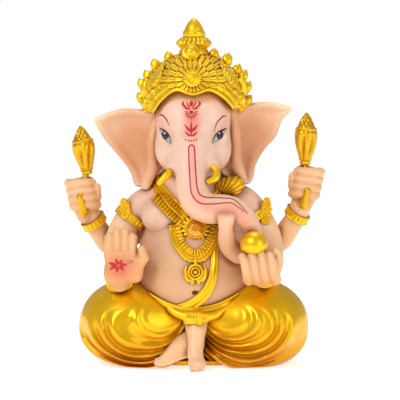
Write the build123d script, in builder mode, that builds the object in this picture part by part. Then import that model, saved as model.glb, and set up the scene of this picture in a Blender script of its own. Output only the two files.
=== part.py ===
from build123d import *
import os

# A seated four-armed elephant-headed idol, cast in resin sections that plug together.
# Millimetres. X runs to the idol's left, Y to its back and Z up. The origin is on the
# ground, under the middle of the base plate. The idol faces -Y.

os.makedirs("parts", exist_ok=True)

# ---------------------------------------------------------------- driving dimensions
TOP = 147.0  # tip of the crown's finial above the ground
GLUE = 0.1  # adhesive gap round every spigot
PEG = 1.5  # radius of the small spigots
FRONT = 60.0  # depth of the cutters that carve front ornaments out of a skin

# Levels of a lofted form: (height, half width, half depth, centre's y)
TORSO_LEVELS = [
    (12, 23, 19, 3),
    (24, 23.5, 23.5, 0),
    (38, 24, 26.5, -1.5),
    (50, 22.5, 24, -1),
    (60, 21.5, 20, 0.5),
    (68, 21.5, 17, 2),
    (74, 19, 14.5, 3),
    (79, 13, 11.5, 3.5),
    (83, 8, 8.5, 4),
]
HEAD_LEVELS = [
    (79.5, 7, 8, -1),
    (84, 13, 14, -3),
    (90, 15.6, 18, -3.5),
    (97, 16.2, 19, -3),
    (104, 16, 18.5, -1.5),
    (111, 14.5, 17, 0),
    (117, 11.5, 13.5, 1),
    (121, 7, 8.5, 1.5),
]

# The trunk hangs down the face, swings to the idol's left, goes down behind the sweet
# ball and curls up again, in front of itself.
TRUNK_PATH = [
    (-1.3, -16, 93),
    (-1.1, -24.5, 82),
    (-0.6, -28, 75.7),
    (1.9, -29.5, 70.4),
    (7, -30, 67.8),
    (12.5, -30.5, 68.1),
    (18, -30.5, 67.5),
    (21.8, -29.5, 64.1),
    (24.4, -27.5, 58.9),
    (24.8, -25, 53.1),
    (22.7, -23.8, 48),
    (18.9, -24, 46.5),
    (15.1, -26.5, 50),
    (13.6, -31.5, 55.5),
    (13.3, -36.5, 60.5),
    (13.4, -40.3, 64.9),
]
TRUNK_RADII = [8.5, 7, 6.5, 6.6, 6.6, 6.3, 5.6, 4.8, 4.3, 4, 4, 4, 4, 3.4, 2.8, 3.4]

NECK_RADIUS, NECK_TOP = 5.0, 88.0
BREAST, BREAST_RADIUS = (14.2, -10.5, 63.2), 7.4

# Ears: each is a slice of a hollow ball, cut to the ear's outline
EAR_BOWL, EAR_BOWL_RADIUS, EAR_THICK = (-29, -29, 93), 30.5, 3.5

# Crown
CROWN_CENTRE_Z = 112.0
CROWN_RADIUS = 22.0
CROWN_TOP = 132.0
CROWN_HEM = 101.0  # the crown's edge at the back of the head
RIM_ARCH = [
    (-17, 107.5),
    (-13.2, 113.5),
    (-7.4, 117.2),
    (-0.4, 115.8),
    (6.6, 117.2),
    (12.6, 113.8),
    (16.4, 108.5),
]
RIM_WIDTH = 2.6
FAN_CENTRE = (-0.6, 121.5)
FAN_RADIUS = 8.3
LEAF_ANGLES = [3, 18, 33, 48, 62]
LEAF_BASE, LEAF_LENGTH = 2.3, 5.5
LOTUS_PETALS = 16

# Arms
RIGHT_ARM_PATH = [(-17.5, -2, 69.5), (-27, -3, 62), (-33, -4, 53.5), (-35, -9, 45.5), (-30.5, -23, 38.5)]
LEFT_ARM_PATH = [(17.5, -2, 70), (26.7, -3, 62.6), (32, -4, 54), (33, -9, 46), (28.5, -24, 41)]
FRONT_ARM_RADII = [6.4, 5.8, 5.9, 5.3, 4.3]
RIGHT_REAR_PATH = [(-16, 8, 64), (-28, 9, 51.5), (-36, 6.5, 49), (-44.1, 1, 61)]
LEFT_REAR_PATH = [(16, 8, 65), (28, 9, 52.5), (37, 6.5, 50.5), (45.2, 1, 64.4)]
REAR_ARM_RADII = [5.6, 5.4, 5.0, 4.8, 4.3]
RIGHT_FIST, LEFT_FIST = (-47.4, -1, 72), (48, -1, 76.8)
FIST_SIZE = (13.4, 9.6, 17)
PALM_CENTRE, PALM_FRONT = (-30.6, 44.5), -31.0
BALL_CENTRE, BALL_RADIUS = (25.0, -34.6, 53.4), 5.7

# Seat and legs
BASE_THICK = 2.0
KNEE_X, KNEE_Y, KNEE_Z = 27.5, -10.0, 17.0
KNEE_RADII = (21.5, 23.5, 19.5)
THIGH_RADII = (20, 20, 13.5)


# ---------------------------------------------------------------- shared forms
def stacked(levels, grow=0.0):
    """A form lofted through one ellipse a level, each grown outwards by grow."""
    with BuildPart() as form:
        for height, half_width, half_depth, centre_y in levels:
            with BuildSketch(Plane((0, centre_y, height))):
                Ellipse(half_width + grow, half_depth + grow)
        loft()
    return form.part


def ellipsoid(centre, radii):
    """A ball stretched to its three radii."""
    with BuildPart() as ball:
        Sphere(1)
    return scale(ball.part, by=radii).moved(Location(centre))


def limb(points, radii, side=(0, 1, 0), round_end=False):
    """A round limb lofted along a curve, with its radii spaced evenly from end to end."""
    with BuildLine() as path:
        Spline(*points)
    with BuildPart() as part:
        for index, radius in enumerate(radii):
            share = index / (len(radii) - 1)
            with BuildSketch(Plane(path.line @ share, x_dir=side, z_dir=path.line % share)):
                Circle(radius)
        loft()
        if round_end:
            with Locations(path.line @ 1):
                Sphere(radii[-1])
    return part.part


def capsule(start, end, radius):
    """A finger: a cylinder with a ball on each end."""
    run = Vector(*end) - Vector(*start)
    with BuildPart(Plane(start, z_dir=run)) as part:
        Cylinder(radius, run.length, align=(Align.CENTER, Align.CENTER, Align.MIN))
        Sphere(radius)
        with Locations((0, 0, run.length)):
            Sphere(radius)
    return part.part


def peg(start, end, radius):
    """A plain spigot from start to end."""
    run = Vector(*end) - Vector(*start)
    with BuildPart(Plane(start, z_dir=run)) as part:
        Cylinder(radius, run.length, align=(Align.CENTER, Align.CENTER, Align.MIN))
    return part.part


def cuff(centre, along, radius, width, ribs=0):
    """A solid bracelet blank: a lip at each edge, and a mid ring or ribs between them."""
    half = width / 2
    with BuildPart(Plane(centre, z_dir=along)) as blank:
        Cylinder(radius, width)
        with Locations((0, 0, half), (0, 0, -half)):
            Cylinder(radius + 0.5, width * 0.22)
        if ribs:
            with PolarLocations(radius + 0.15, ribs):
                Box(0.6, 0.7, width * 0.9)
        else:
            Cylinder(radius + 0.4, width * 0.2)
    return blank.part


def cuff_room(centre, along, radius, width):
    """The space that a bracelet takes up, with its lips and a gap for glue."""
    with BuildPart(Plane(centre, z_dir=along)) as room:
        Cylinder(radius + 0.5 + GLUE, width * 1.22 + 2 * GLUE)
    return room.part


def largest(part):
    """The main solid of a part, without the slivers that a cut can leave behind."""
    return part.solids().sort_by(SortBy.VOLUME)[-1]


# ---------------------------------------------------------------- body
body_form = stacked(TORSO_LEVELS)
body_room = stacked(TORSO_LEVELS, GLUE)
with BuildPart() as breast_room:
    with Locations((-BREAST[0], BREAST[1], BREAST[2]), BREAST):
        Sphere(BREAST_RADIUS + GLUE)

with BuildPart() as torso:
    add(body_form)
    with Locations((-BREAST[0], BREAST[1], BREAST[2]), BREAST):
        Sphere(BREAST_RADIUS)
    with Locations((0, 4, 80)):
        Cylinder(NECK_RADIUS, NECK_TOP - 80, align=(Align.CENTER, Align.CENTER, Align.MIN))
    with Locations((0.6, -28, 33)):
        Sphere(1.2, mode=Mode.SUBTRACT)  # navel

trunk_form = limb(TRUNK_PATH, TRUNK_RADII)
trunk_room = limb(TRUNK_PATH[:10], [radius + GLUE for radius in TRUNK_RADII[:10]])
skull_form = stacked(HEAD_LEVELS)
neck_socket = peg((0, 4, 70), (0, 4, NECK_TOP + 0.5), NECK_RADIUS + GLUE)

with BuildPart() as head:
    add(skull_form)
    add(trunk_form)
    add(body_room, mode=Mode.SUBTRACT)
    add(neck_socket, mode=Mode.SUBTRACT)
head.part = largest(head.part)


# ---------------------------------------------------------------- ears
skull_room = stacked(HEAD_LEVELS, GLUE)
with BuildPart() as ear_shell:
    with Locations(EAR_BOWL):
        Sphere(EAR_BOWL_RADIUS + EAR_THICK)
        Sphere(EAR_BOWL_RADIUS, mode=Mode.SUBTRACT)
with BuildPart() as ear_blank:
    with BuildSketch(Plane.XZ):  # seen from the front: a wide fan that narrows to a lobe
        with BuildLine():
            rim = Spline((-15.4, 106.4), (-25.7, 108.4), (-35, 107.4), (-42.6, 104.2))
            edge = Spline(rim @ 1, (-37.9, 94.1), (-29.5, 83.4), (-26.1, 75.5))
            lobe = ThreePointArc(edge @ 1, (-23, 73.3), (-19.5, 76.5))
            root = Spline(lobe @ 1, (-16.2, 85), (-15, 96))
            Line(root @ 1, rim @ 0)
        make_face()
    extrude(amount=12, both=True)
    add(ear_shell.part, mode=Mode.INTERSECT)

with BuildPart() as right_ear:
    add(ear_blank.part)
    add(skull_room, mode=Mode.SUBTRACT)
right_ear.part = largest(right_ear.part)

# The left ear is the right one mirrored, tilted a little and set higher.
ear_root = Location((16, 0, 95))
ear_turn = Location((0, 0, 2)) * ear_root * Location((0, 0, 0), (0, -4, 0)) * ear_root.inverse()
with BuildPart() as left_ear:
    add(mirror(ear_blank.part, about=Plane.YZ).moved(ear_turn))
    add(skull_room, mode=Mode.SUBTRACT)
left_ear.part = largest(left_ear.part)

# ---------------------------------------------------------------- tusks
with BuildPart() as right_tusk:
    add(capsule((-8.2, -21, 86), (-14.4, -26.8, 80), 2.4))
    add(skull_room, mode=Mode.SUBTRACT)
    add(trunk_room, mode=Mode.SUBTRACT)
right_tusk.part = largest(right_tusk.part)
with BuildPart() as left_tusk:
    add(capsule((9.4, -19.6, 86.4), (11.6, -26.8, 80.2), 2.2))
    add(skull_room, mode=Mode.SUBTRACT)
left_tusk.part = largest(left_tusk.part)


# ---------------------------------------------------------------- crown
def dome(grow=0.0):
    """The crown's bell shape, turned about the upright axis and grown outwards by grow."""
    with BuildPart() as bell:
        with BuildSketch(Plane.XZ):
            with BuildLine():
                top = (0, CROWN_TOP + grow)
                side = Spline(
                    top,
                    (12.5 + grow, CROWN_TOP - 3.6 + grow * 0.7),
                    (19.5 + grow, CROWN_TOP - 10.5 + grow * 0.4),
                    (CROWN_RADIUS + grow, CROWN_CENTRE_Z + 1),
                    (CROWN_RADIUS - 2.2 + grow, CROWN_HEM),
                    tangents=[(1, 0), (-0.25, -1)],
                )
                Line(side @ 1, (0, CROWN_HEM))
                Line((0, CROWN_HEM), top)
            make_face()
        revolve(axis=Axis.Z)
    return bell.part


dome_form = dome()
dome_room = dome(GLUE)
with BuildPart() as crown_cap:
    add(dome_form)
    with BuildSketch(Plane.XZ.offset(-6)):  # the arched opening over the brow and the ears
        with BuildLine():
            arch = Spline(*RIM_ARCH)
            Polyline(arch @ 1, (30, 109.5), (30, 90), (-30, 90), (-30, 108), arch @ 0)
        make_face()
    extrude(amount=50, mode=Mode.SUBTRACT)
    add(skull_room, mode=Mode.SUBTRACT)
    add(right_ear.part, mode=Mode.SUBTRACT)
    add(left_ear.part, mode=Mode.SUBTRACT)
    with BuildSketch(Plane.XY.offset(CROWN_TOP - 3)):
        Circle(PEG + GLUE)
    extrude(amount=8, mode=Mode.SUBTRACT)
crown_cap.part = largest(crown_cap.part)

with BuildPart() as crown_rim:
    with BuildSketch(Plane.XZ):
        with BuildLine():
            Spline(*RIM_ARCH)
        trace(line_width=RIM_WIDTH)
    extrude(amount=FRONT)
    add(dome(1.4), mode=Mode.INTERSECT)
    add(dome_room, mode=Mode.SUBTRACT)
    add(skull_room, mode=Mode.SUBTRACT)
crown_rim.part = largest(crown_rim.part)
with BuildPart() as rim_room:
    with BuildSketch(Plane.XZ):
        with BuildLine():
            Spline(*RIM_ARCH)
        trace(line_width=RIM_WIDTH + 2 * GLUE)
    extrude(amount=FRONT)

rosette_seat = Plane((FAN_CENTRE[0], -19, FAN_CENTRE[1] + 0.6), z_dir=(0, -1, 0.15))
with BuildPart(rosette_seat) as rosette_room:
    Cylinder(4.8 + GLUE, 16)
jewel_seat = Plane((-0.9, -5, CROWN_TOP + 0.1), z_dir=(0, -1, 0.5))
with BuildPart(jewel_seat) as jewel_room:
    Cylinder(3.1 + GLUE, 20)

with BuildPart() as crown_fan:
    with BuildSketch(Plane.XZ.offset(4)) as fan_face:
        with Locations(FAN_CENTRE):
            Circle(FAN_RADIUS)
            with PolarLocations(FAN_RADIUS, 20):
                Circle(1.2)
        with Locations((FAN_CENTRE[0], FAN_CENTRE[1] - 1.5)):
            Rectangle(40, 40, align=(Align.CENTER, Align.MAX), mode=Mode.SUBTRACT)
    extrude(amount=FRONT)
    add(dome(1.6), mode=Mode.INTERSECT)
    add(dome_room, mode=Mode.SUBTRACT)
    add(rim_room.part, mode=Mode.SUBTRACT)
    add(rosette_room.part, mode=Mode.SUBTRACT)
    add(jewel_room.part, mode=Mode.SUBTRACT)
crown_fan.part = largest(crown_fan.part)

with BuildPart(rosette_seat) as rosette_blank:
    Cylinder(3.9, 5.2, align=(Align.CENTER, Align.CENTER, Align.MIN))
    with PolarLocations(3.9, 12):
        Cylinder(0.9, 5, align=(Align.CENTER, Align.CENTER, Align.MIN))
    with Locations((0, 0, 4.6)):
        Sphere(1.8)
with BuildPart() as crown_rosette:
    add(rosette_blank.part)
    add(dome_room, mode=Mode.SUBTRACT)
    add(rim_room.part, mode=Mode.SUBTRACT)
crown_rosette.part = largest(crown_rosette.part)

with BuildPart(jewel_seat) as jewel_blank:
    Cylinder(3.1, 7, align=(Align.CENTER, Align.CENTER, Align.MIN))
    with Locations((0, 0, 6.8)):
        Sphere(2.1)
with BuildPart() as crown_jewel:
    add(jewel_blank.part)
    add(dome_room, mode=Mode.SUBTRACT)
crown_jewel.part = largest(crown_jewel.part)

with BuildPart() as crown_leaves:
    for angle in LEAF_ANGLES + [180 - a for a in LEAF_ANGLES]:
        outward = Vector(1, 0, 0).rotate(Axis.Y, -angle)
        centre = Vector(0, 1, CROWN_CENTRE_Z) + outward * (CROWN_RADIUS - 2.4)
        with Locations(Plane(centre, z_dir=outward)):
            Cone(LEAF_BASE, 0.4, LEAF_LENGTH + 1, align=(Align.CENTER, Align.CENTER, Align.MIN))
    add(dome_room, mode=Mode.SUBTRACT)

with BuildPart() as finial_lotus:
    with BuildSketch(Plane.XZ):
        with BuildLine():
            Polyline(
                (0, 131.2),
                (6.6, 131.2),
                (6.6, 133.4),
                (5.6, 134),
                (7.5, 136.4),
                (5.2, 138.8),
                (0, 139.4),
                close=True,
            )
        make_face()
    revolve(axis=Axis.Z)
    with PolarLocations(8.1, LOTUS_PETALS):
        with Locations((0, 0, 136.4)):
            Cylinder(0.9, 5.4, mode=Mode.SUBTRACT)
    add(dome_room, mode=Mode.SUBTRACT)
    add(jewel_room.part, mode=Mode.SUBTRACT)
    with Locations((0, 0, 137)):
        Cylinder(PEG + GLUE, 5, align=(Align.CENTER, Align.CENTER, Align.MIN), mode=Mode.SUBTRACT)
    with Locations((0, 0, CROWN_TOP - 2.6)):
        Cylinder(PEG, 3.6, align=(Align.CENTER, Align.CENTER, Align.MIN))
finial_lotus.part = largest(finial_lotus.part)

with BuildPart() as finial_bud:
    with BuildSketch(Plane.XZ):
        with BuildLine():
            outside = [(4.2, 139.4), (4.7, 141), (3.3, 144.6), (0.7, TOP)]
            flank = Spline(outside, tangents=[(0.5, 1), (-1, 0.4)])
            Polyline(flank @ 1, (0, TOP), (0, 139.4), flank @ 0)
        make_face()
    revolve(axis=Axis.Z)
    with Locations((0, 0, 137.1)):
        Cylinder(PEG, 3, align=(Align.CENTER, Align.CENTER, Align.MIN))

# ---------------------------------------------------------------- garments
base_outline = [(24, -9, 9.5), (-24, -9, 9.5), (20, 9, 9), (-20, 9, 9)]
with BuildPart() as base_plate:
    with BuildSketch() as footprint:
        for x, y, radius in base_outline:
            with Locations((x, y)):
                Circle(radius)
        make_hull()
    extrude(amount=BASE_THICK)

shin_form = limb([(1, -24, 21), (0.8, -28.5, 13), (0.4, -32, 6.5)], [4.6, 4.2, 3.2])
right_toes = limb(
    [(0.4, -31.5, 6.5), (0.5, -34.5, 3.6), (0.6, -37.5, 2.2)],
    [3.2, 2.9, 2.0],
    side=(1, 0, 0),
    round_end=True,
)
left_sole = limb(
    [(1, -23, 8), (-7.5, -27, 6.2), (-15.4, -29.5, 3.2)],
    [4.6, 4.4, 2.7],
    side=(0, 0, 1),
    round_end=True,
)
underground = Location((0, 0, -20)) * Box(160, 160, 40, mode=Mode.PRIVATE)

with BuildPart() as hanging_foot:
    add(shin_form)
    add(right_toes)
    with Locations((0.4, -31.6, 6.4)):
        Sphere(3.3)
    add([underground, base_plate.part], mode=Mode.SUBTRACT)
    add(body_room, mode=Mode.SUBTRACT)
hanging_foot.part = largest(hanging_foot.part)
with BuildPart() as folded_foot:
    add(left_sole)
    add([underground, base_plate.part], mode=Mode.SUBTRACT)
    add(body_room, mode=Mode.SUBTRACT)
    add(hanging_foot.part, mode=Mode.SUBTRACT)
folded_foot.part = largest(folded_foot.part)


def leg_cover(side):
    """One puffed trouser leg, closed flat on the ground. side is -1 for right and 1 for left."""
    knee = ellipsoid((side * KNEE_X, KNEE_Y, KNEE_Z), KNEE_RADII)
    thigh = ellipsoid((side * 15, -5, 20), THIGH_RADII)
    with BuildPart() as cover:
        add([knee, thigh])
        with Locations((side * 50, 0, 20)):
            Box(100, 160, 80, mode=Mode.INTERSECT)  # each leg stays on its own side
        add([underground, base_plate.part], mode=Mode.SUBTRACT)
        add(body_room, mode=Mode.SUBTRACT)
        add(hanging_foot.part, mode=Mode.SUBTRACT)
        add(folded_foot.part, mode=Mode.SUBTRACT)
    return largest(cover.part)


right_leg_form = leg_cover(-1)
left_leg_form = leg_cover(1)

with BuildPart() as waistband:
    with BuildSketch(Plane((0, 0, 25.5), z_dir=(0, -0.14, 1))):
        Ellipse(26, 28.4)
    extrude(amount=2.6, both=True)
    add(body_room, mode=Mode.SUBTRACT)
    add(shin_form, mode=Mode.SUBTRACT)
waistband.part = largest(waistband.part)
with BuildPart() as waist_wedge:
    with BuildSketch(Plane((0, 0, 25.5), z_dir=(0, -0.14, 1))):
        Ellipse(40, 40)
    extrude(amount=2.6 + GLUE, both=True)
waistband_room = waist_wedge.part

knot_place = (2, -30.4, 21.6)
waist_knot_room = Location(knot_place) * Box(13.2, 5.8, 5.2, mode=Mode.PRIVATE)
with BuildPart() as waist_core:
    with BuildSketch(Plane((0, 0, 25.5), z_dir=(0, -0.14, 1))):
        Ellipse(26 + GLUE, 28.4 + GLUE)
    extrude(amount=8, both=True)
with BuildPart() as waist_knot:
    with Locations(knot_place):
        Box(13, 5.6, 5)
    fillet(waist_knot.edges(), 1.2)
    add(waist_core.part, mode=Mode.SUBTRACT)
    add(shin_form, mode=Mode.SUBTRACT)
waist_knot.part = largest(waist_knot.part)

# ---------------------------------------------------------------- ornaments on the chest
brooch_seat = Plane((0.6, -19, 58.6), z_dir=(0, -1, 0.25))
with BuildPart(brooch_seat) as brooch_blank:
    Cylinder(5.4, 5.4, align=(Align.CENTER, Align.CENTER, Align.MIN))
    with Locations((0, 0, 5.4)):
        Cone(5.4, 4.2, 1.2, align=(Align.CENTER, Align.CENTER, Align.MIN))
        Cylinder(3.3, 3, mode=Mode.SUBTRACT)
with BuildPart() as chest_brooch:
    add(brooch_blank.part)
    add(body_room, mode=Mode.SUBTRACT)
    add(trunk_room, mode=Mode.SUBTRACT)
chest_brooch.part = largest(chest_brooch.part)

with BuildPart(brooch_seat) as gem_blank:
    with Locations((0, 0, 5.2)):
        Cylinder(3.2, 1.1, align=(Align.CENTER, Align.CENTER, Align.MIN))
    with Locations((0, 0, 6.3)):
        Cone(3.2, 1.9, 1.4, align=(Align.CENTER, Align.CENTER, Align.MIN))
with BuildPart() as chest_gem:
    add(gem_blank.part)
    add(trunk_room, mode=Mode.SUBTRACT)
chest_gem.part = largest(chest_gem.part)
brooch_room = peg((0.6, -15, 57.6), (0.6, -35, 62.6), 5.4 + GLUE)

pendant_seat = Plane((0.6, -22, 42.4), z_dir=(0, -1, 0))
with BuildPart(pendant_seat) as pendant_blank:
    Cylinder(3.8, 7.2, align=(Align.CENTER, Align.CENTER, Align.MIN))
    with Locations((0, 0, 7.2)):
        Sphere(1.9)
with BuildPart() as pendant:
    add(pendant_blank.part)
    add(body_room, mode=Mode.SUBTRACT)
pendant.part = largest(pendant.part)
with BuildPart(pendant_seat) as pendant_room:
    Cylinder(3.8 + GLUE, 40)


def ribbon(points, width):
    """An upright wall that follows a line drawn on the front of the body."""
    with BuildPart() as wall:
        with BuildSketch(Plane.XZ):
            with BuildLine():
                Spline(*points)
            trace(line_width=width)
        extrude(amount=FRONT)
    return wall.part


FESTOON_LINE = [(-7, 59.5), (-5, 51), (0.6, 47), (6, 51), (8.2, 59.5)]
SASH_LINE = [(8.8, 57), (9.2, 50), (8.2, 42), (3.5, 34), (-6, 27.5)]
with BuildPart() as festoon:
    add(ribbon(FESTOON_LINE, 2.8))
    add(stacked(TORSO_LEVELS, 2.1), mode=Mode.INTERSECT)
    add(body_room, mode=Mode.SUBTRACT)
    add(brooch_room, mode=Mode.SUBTRACT)
    add(pendant_room.part, mode=Mode.SUBTRACT)
festoon.part = largest(festoon.part)

with BuildPart() as sash:
    add(ribbon(SASH_LINE, 3.4))
    add(stacked(TORSO_LEVELS, 1.5), mode=Mode.INTERSECT)
    add(body_room, mode=Mode.SUBTRACT)
    add(ribbon(FESTOON_LINE, 2.8 + 2 * GLUE), mode=Mode.SUBTRACT)
    add(pendant_room.part, mode=Mode.SUBTRACT)
    add(waistband_room, mode=Mode.SUBTRACT)
sash.part = largest(sash.part)

with BuildPart() as collar:
    add(ribbon([(-17.6, 77.6), (-11.6, 70), (-4.6, 63)], 5.6))
    add(ribbon([(17.6, 79), (11.6, 71.6), (4.6, 64)], 5.6))
    with BuildSketch(Plane.XZ):
        with Locations((0.5, 61.5)):
            Circle(7)
    extrude(amount=FRONT)
    add(stacked(TORSO_LEVELS, 2.0), mode=Mode.INTERSECT)
    add(body_room, mode=Mode.SUBTRACT)
    add(breast_room.part, mode=Mode.SUBTRACT)
    add(brooch_room, mode=Mode.SUBTRACT)
    add(ribbon(FESTOON_LINE, 2.8 + 2 * GLUE), mode=Mode.SUBTRACT)
    add(trunk_room, mode=Mode.SUBTRACT)

# ---------------------------------------------------------------- front arms and hands
right_arm_form = limb(RIGHT_ARM_PATH, FRONT_ARM_RADII, side=(1, 0, 0))
left_arm_form = limb(LEFT_ARM_PATH, FRONT_ARM_RADII, side=(1, 0, 0))

FINGER = 1.95
palm_x, palm_z = PALM_CENTRE
knuckle_y = PALM_FRONT + 3
fingertip_y = PALM_FRONT + 2.2
right_fingers = [
    capsule((palm_x - 5.6, knuckle_y, palm_z + 3), (palm_x - 5.2, fingertip_y, palm_z + 11.6), FINGER),
    capsule((palm_x - 1.9, knuckle_y, palm_z + 4), (palm_x - 1.8, fingertip_y, palm_z + 14.2), FINGER),
    capsule((palm_x + 1.8, knuckle_y, palm_z + 4), (palm_x + 1.6, fingertip_y, palm_z + 13.8), FINGER),
    capsule((palm_x + 5.4, knuckle_y, palm_z + 3), (palm_x + 4.8, fingertip_y, palm_z + 12), FINGER),
    capsule((palm_x + 6.2, knuckle_y, palm_z - 4), (palm_x + 8.6, PALM_FRONT + 1.6, palm_z + 4), 2.1),
]
with BuildPart() as front_right_hand:
    with BuildSketch(Plane.XZ.offset(-PALM_FRONT - 5)):
        with Locations((palm_x - 3.2, palm_z + 3.5), (palm_x + 3.2, palm_z + 3.5)):
            Circle(4.2)
        with Locations((palm_x, palm_z - 3.4)):
            Circle(5.2)
        make_hull()
    extrude(amount=5)
    add(right_fingers)
    with Locations((palm_x, PALM_FRONT + 3.4, palm_z - 4.6)):
        Sphere(3.9)

with BuildPart() as modak:
    with Locations(BALL_CENTRE):
        Sphere(BALL_RADIUS)
    add(head.part, mode=Mode.SUBTRACT)
modak.part = largest(modak.part)

ball_x, ball_y, ball_z = BALL_CENTRE
left_fingers = [
    capsule(
        (ball_x + dx, ball_y - 2, ball_z - 12.5),
        (ball_x + dx - 0.9, ball_y - 5.6, ball_z - 3.6 + lift),
        FINGER,
    )
    for dx, lift in [(-3.5, -1.6), (0.2, 0), (3.9, 0.2), (7.5, -0.4)]
]
left_thumb = capsule((ball_x + 9, ball_y + 7, ball_z - 11), (ball_x + 9, ball_y + 0.5, ball_z - 3), 2.1)
with BuildPart() as front_left_hand:
    add(ellipsoid((ball_x + 2.2, ball_y + 2.4, ball_z - 11.6), (8.2, 7.6, 4.9)))
    add(left_fingers)
    add(left_thumb)
    add([modak.part, head.part], mode=Mode.SUBTRACT)
front_left_hand.part = largest(front_left_hand.part)

with BuildPart() as front_right_arm:
    add(right_arm_form)
    add(body_room, mode=Mode.SUBTRACT)
    add(breast_room.part, mode=Mode.SUBTRACT)
    add(front_right_hand.part, mode=Mode.SUBTRACT)
    add(right_ear.part, mode=Mode.SUBTRACT)
front_right_arm.part = largest(front_right_arm.part)
with BuildPart() as front_left_arm:
    add(left_arm_form)
    add(body_room, mode=Mode.SUBTRACT)
    add(breast_room.part, mode=Mode.SUBTRACT)
    add(front_left_hand.part, mode=Mode.SUBTRACT)
    add(left_ear.part, mode=Mode.SUBTRACT)
front_left_arm.part = largest(front_left_arm.part)


# ---------------------------------------------------------------- rear arms, fists and maces
right_rear_form = limb(RIGHT_REAR_PATH, REAR_ARM_RADII)
left_rear_form = limb(LEFT_REAR_PATH, REAR_ARM_RADII)


def fist_form(centre, side):
    """A closed fist: the palm block and four fingers wrapped over its front."""
    x, y, z = centre
    fingers = [
        capsule((x - 4.4, y - 4, z + 5.4 - 3.2 * row), (x + 4.4, y - 4, z + 5.4 - 3.2 * row), 1.8)
        for row in range(4)
    ]
    thumb = capsule((x - side * 5, y + 1, z + 1), (x - side * 6.4, y - 1, z + 6.5), 1.7)
    with BuildPart() as fist:
        with Locations(centre):
            Box(*FIST_SIZE)
        fillet(fist.edges(), 3.4)
        add(fingers)
        add(thumb)
    return fist.part


def mace_form(tip, neck, pommel):
    """A mace: turned bud, thin shank that runs through the fist, and a wedge pommel below."""
    axis = Vector(*tip) - Vector(*neck)
    with BuildPart() as bud:
        with BuildSketch(Plane.XZ):
            with BuildLine():
                belly = axis.length * 0.6
                outside = [(2.3, -1), (4.8, belly), (0.5, axis.length)]
                flank = Spline(outside, tangents=[(0.15, 1), (-0.6, 1)])
                Polyline(flank @ 1, (0, axis.length), (0, -1), flank @ 0)
            make_face()
        revolve(axis=Axis.Z)
    shank = peg(neck, pommel, 1.2)
    foot = capsule(pommel, Vector(*pommel) + Vector(0.4, -0.6, -4.6), 1.5)
    with BuildPart() as mace:
        add(bud.part.moved(Plane(neck, z_dir=axis).location))
        add([shank, foot])
    return mace.part


right_mace_form = mace_form((-48.7, -2, 101.3), (-45.6, -2, 82.4), (-47.6, -6.9, 69.5))
left_mace_form = mace_form((48.3, -2, 106.9), (47.7, -2, 86.4), (47.7, -6.9, 73.4))

with BuildPart() as rear_right_hand:
    add(fist_form(RIGHT_FIST, -1))
    add(right_mace_form, mode=Mode.SUBTRACT)
    add(right_rear_form, mode=Mode.SUBTRACT)
rear_right_hand.part = largest(rear_right_hand.part)
with BuildPart() as rear_left_hand:
    add(fist_form(LEFT_FIST, 1))
    add(left_mace_form, mode=Mode.SUBTRACT)
    add(left_rear_form, mode=Mode.SUBTRACT)
rear_left_hand.part = largest(rear_left_hand.part)

with BuildPart() as rear_right_arm:
    add(right_rear_form)
    add(body_room, mode=Mode.SUBTRACT)
    add(right_arm_form, mode=Mode.SUBTRACT)
rear_right_arm.part = largest(rear_right_arm.part)
with BuildPart() as rear_left_arm:
    add(left_rear_form)
    add(body_room, mode=Mode.SUBTRACT)
    add(left_arm_form, mode=Mode.SUBTRACT)
rear_left_arm.part = largest(rear_left_arm.part)

# ---------------------------------------------------------------- maces
with BuildPart() as right_mace:
    add(right_mace_form)
    add(right_rear_form, mode=Mode.SUBTRACT)
right_mace.part = largest(right_mace.part)
with BuildPart() as left_mace:
    add(left_mace_form)
    add(left_rear_form, mode=Mode.SUBTRACT)
left_mace.part = largest(left_mace.part)

# ---------------------------------------------------------------- bracelets and armlets
with BuildPart() as front_right_bracelet:
    add(cuff((-31.4, -20.6, 39.4), (0.3, -0.9, -0.32), 5.4, 2.8, 20))
    add(right_arm_form, mode=Mode.SUBTRACT)
    add(front_right_hand.part, mode=Mode.SUBTRACT)
front_right_bracelet.part = largest(front_right_bracelet.part)
with BuildPart() as front_left_bracelet:
    add(cuff((29.4, -20.6, 41.4), (-0.25, -0.95, -0.2), 5.4, 2.8, 20))
    add(left_arm_form, mode=Mode.SUBTRACT)
    add(front_left_hand.part, mode=Mode.SUBTRACT)
front_left_bracelet.part = largest(front_left_bracelet.part)
with BuildPart() as rear_right_bracelet:
    add(cuff((-43.2, 1.9, 59.4), (-0.5, -0.35, 0.85), 5.4, 3.0, 20))
    add(right_rear_form, mode=Mode.SUBTRACT)
    add(rear_right_hand.part, mode=Mode.SUBTRACT)
rear_right_bracelet.part = largest(rear_right_bracelet.part)
with BuildPart() as rear_left_bracelet:
    add(cuff((44.3, 1.9, 62.6), (0.5, -0.35, 0.85), 5.4, 3.0, 20))
    add(left_rear_form, mode=Mode.SUBTRACT)
    add(rear_left_hand.part, mode=Mode.SUBTRACT)
rear_left_bracelet.part = largest(rear_left_bracelet.part)

with BuildPart() as right_armlet:
    add(cuff((-27.4, -3, 61.6), (-0.6, -0.1, -0.8), 6.8, 3.4))
    add(right_arm_form, mode=Mode.SUBTRACT)
    add(right_rear_form, mode=Mode.SUBTRACT)
    add(body_room, mode=Mode.SUBTRACT)
    add(breast_room.part, mode=Mode.SUBTRACT)
right_armlet.part = largest(right_armlet.part)
with BuildPart() as left_armlet:
    add(cuff((27.2, -3, 62.2), (0.6, -0.1, -0.8), 6.8, 3.4))
    add(left_arm_form, mode=Mode.SUBTRACT)
    add(left_rear_form, mode=Mode.SUBTRACT)
    add(body_room, mode=Mode.SUBTRACT)
    add(breast_room.part, mode=Mode.SUBTRACT)
left_armlet.part = largest(left_armlet.part)


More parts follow.
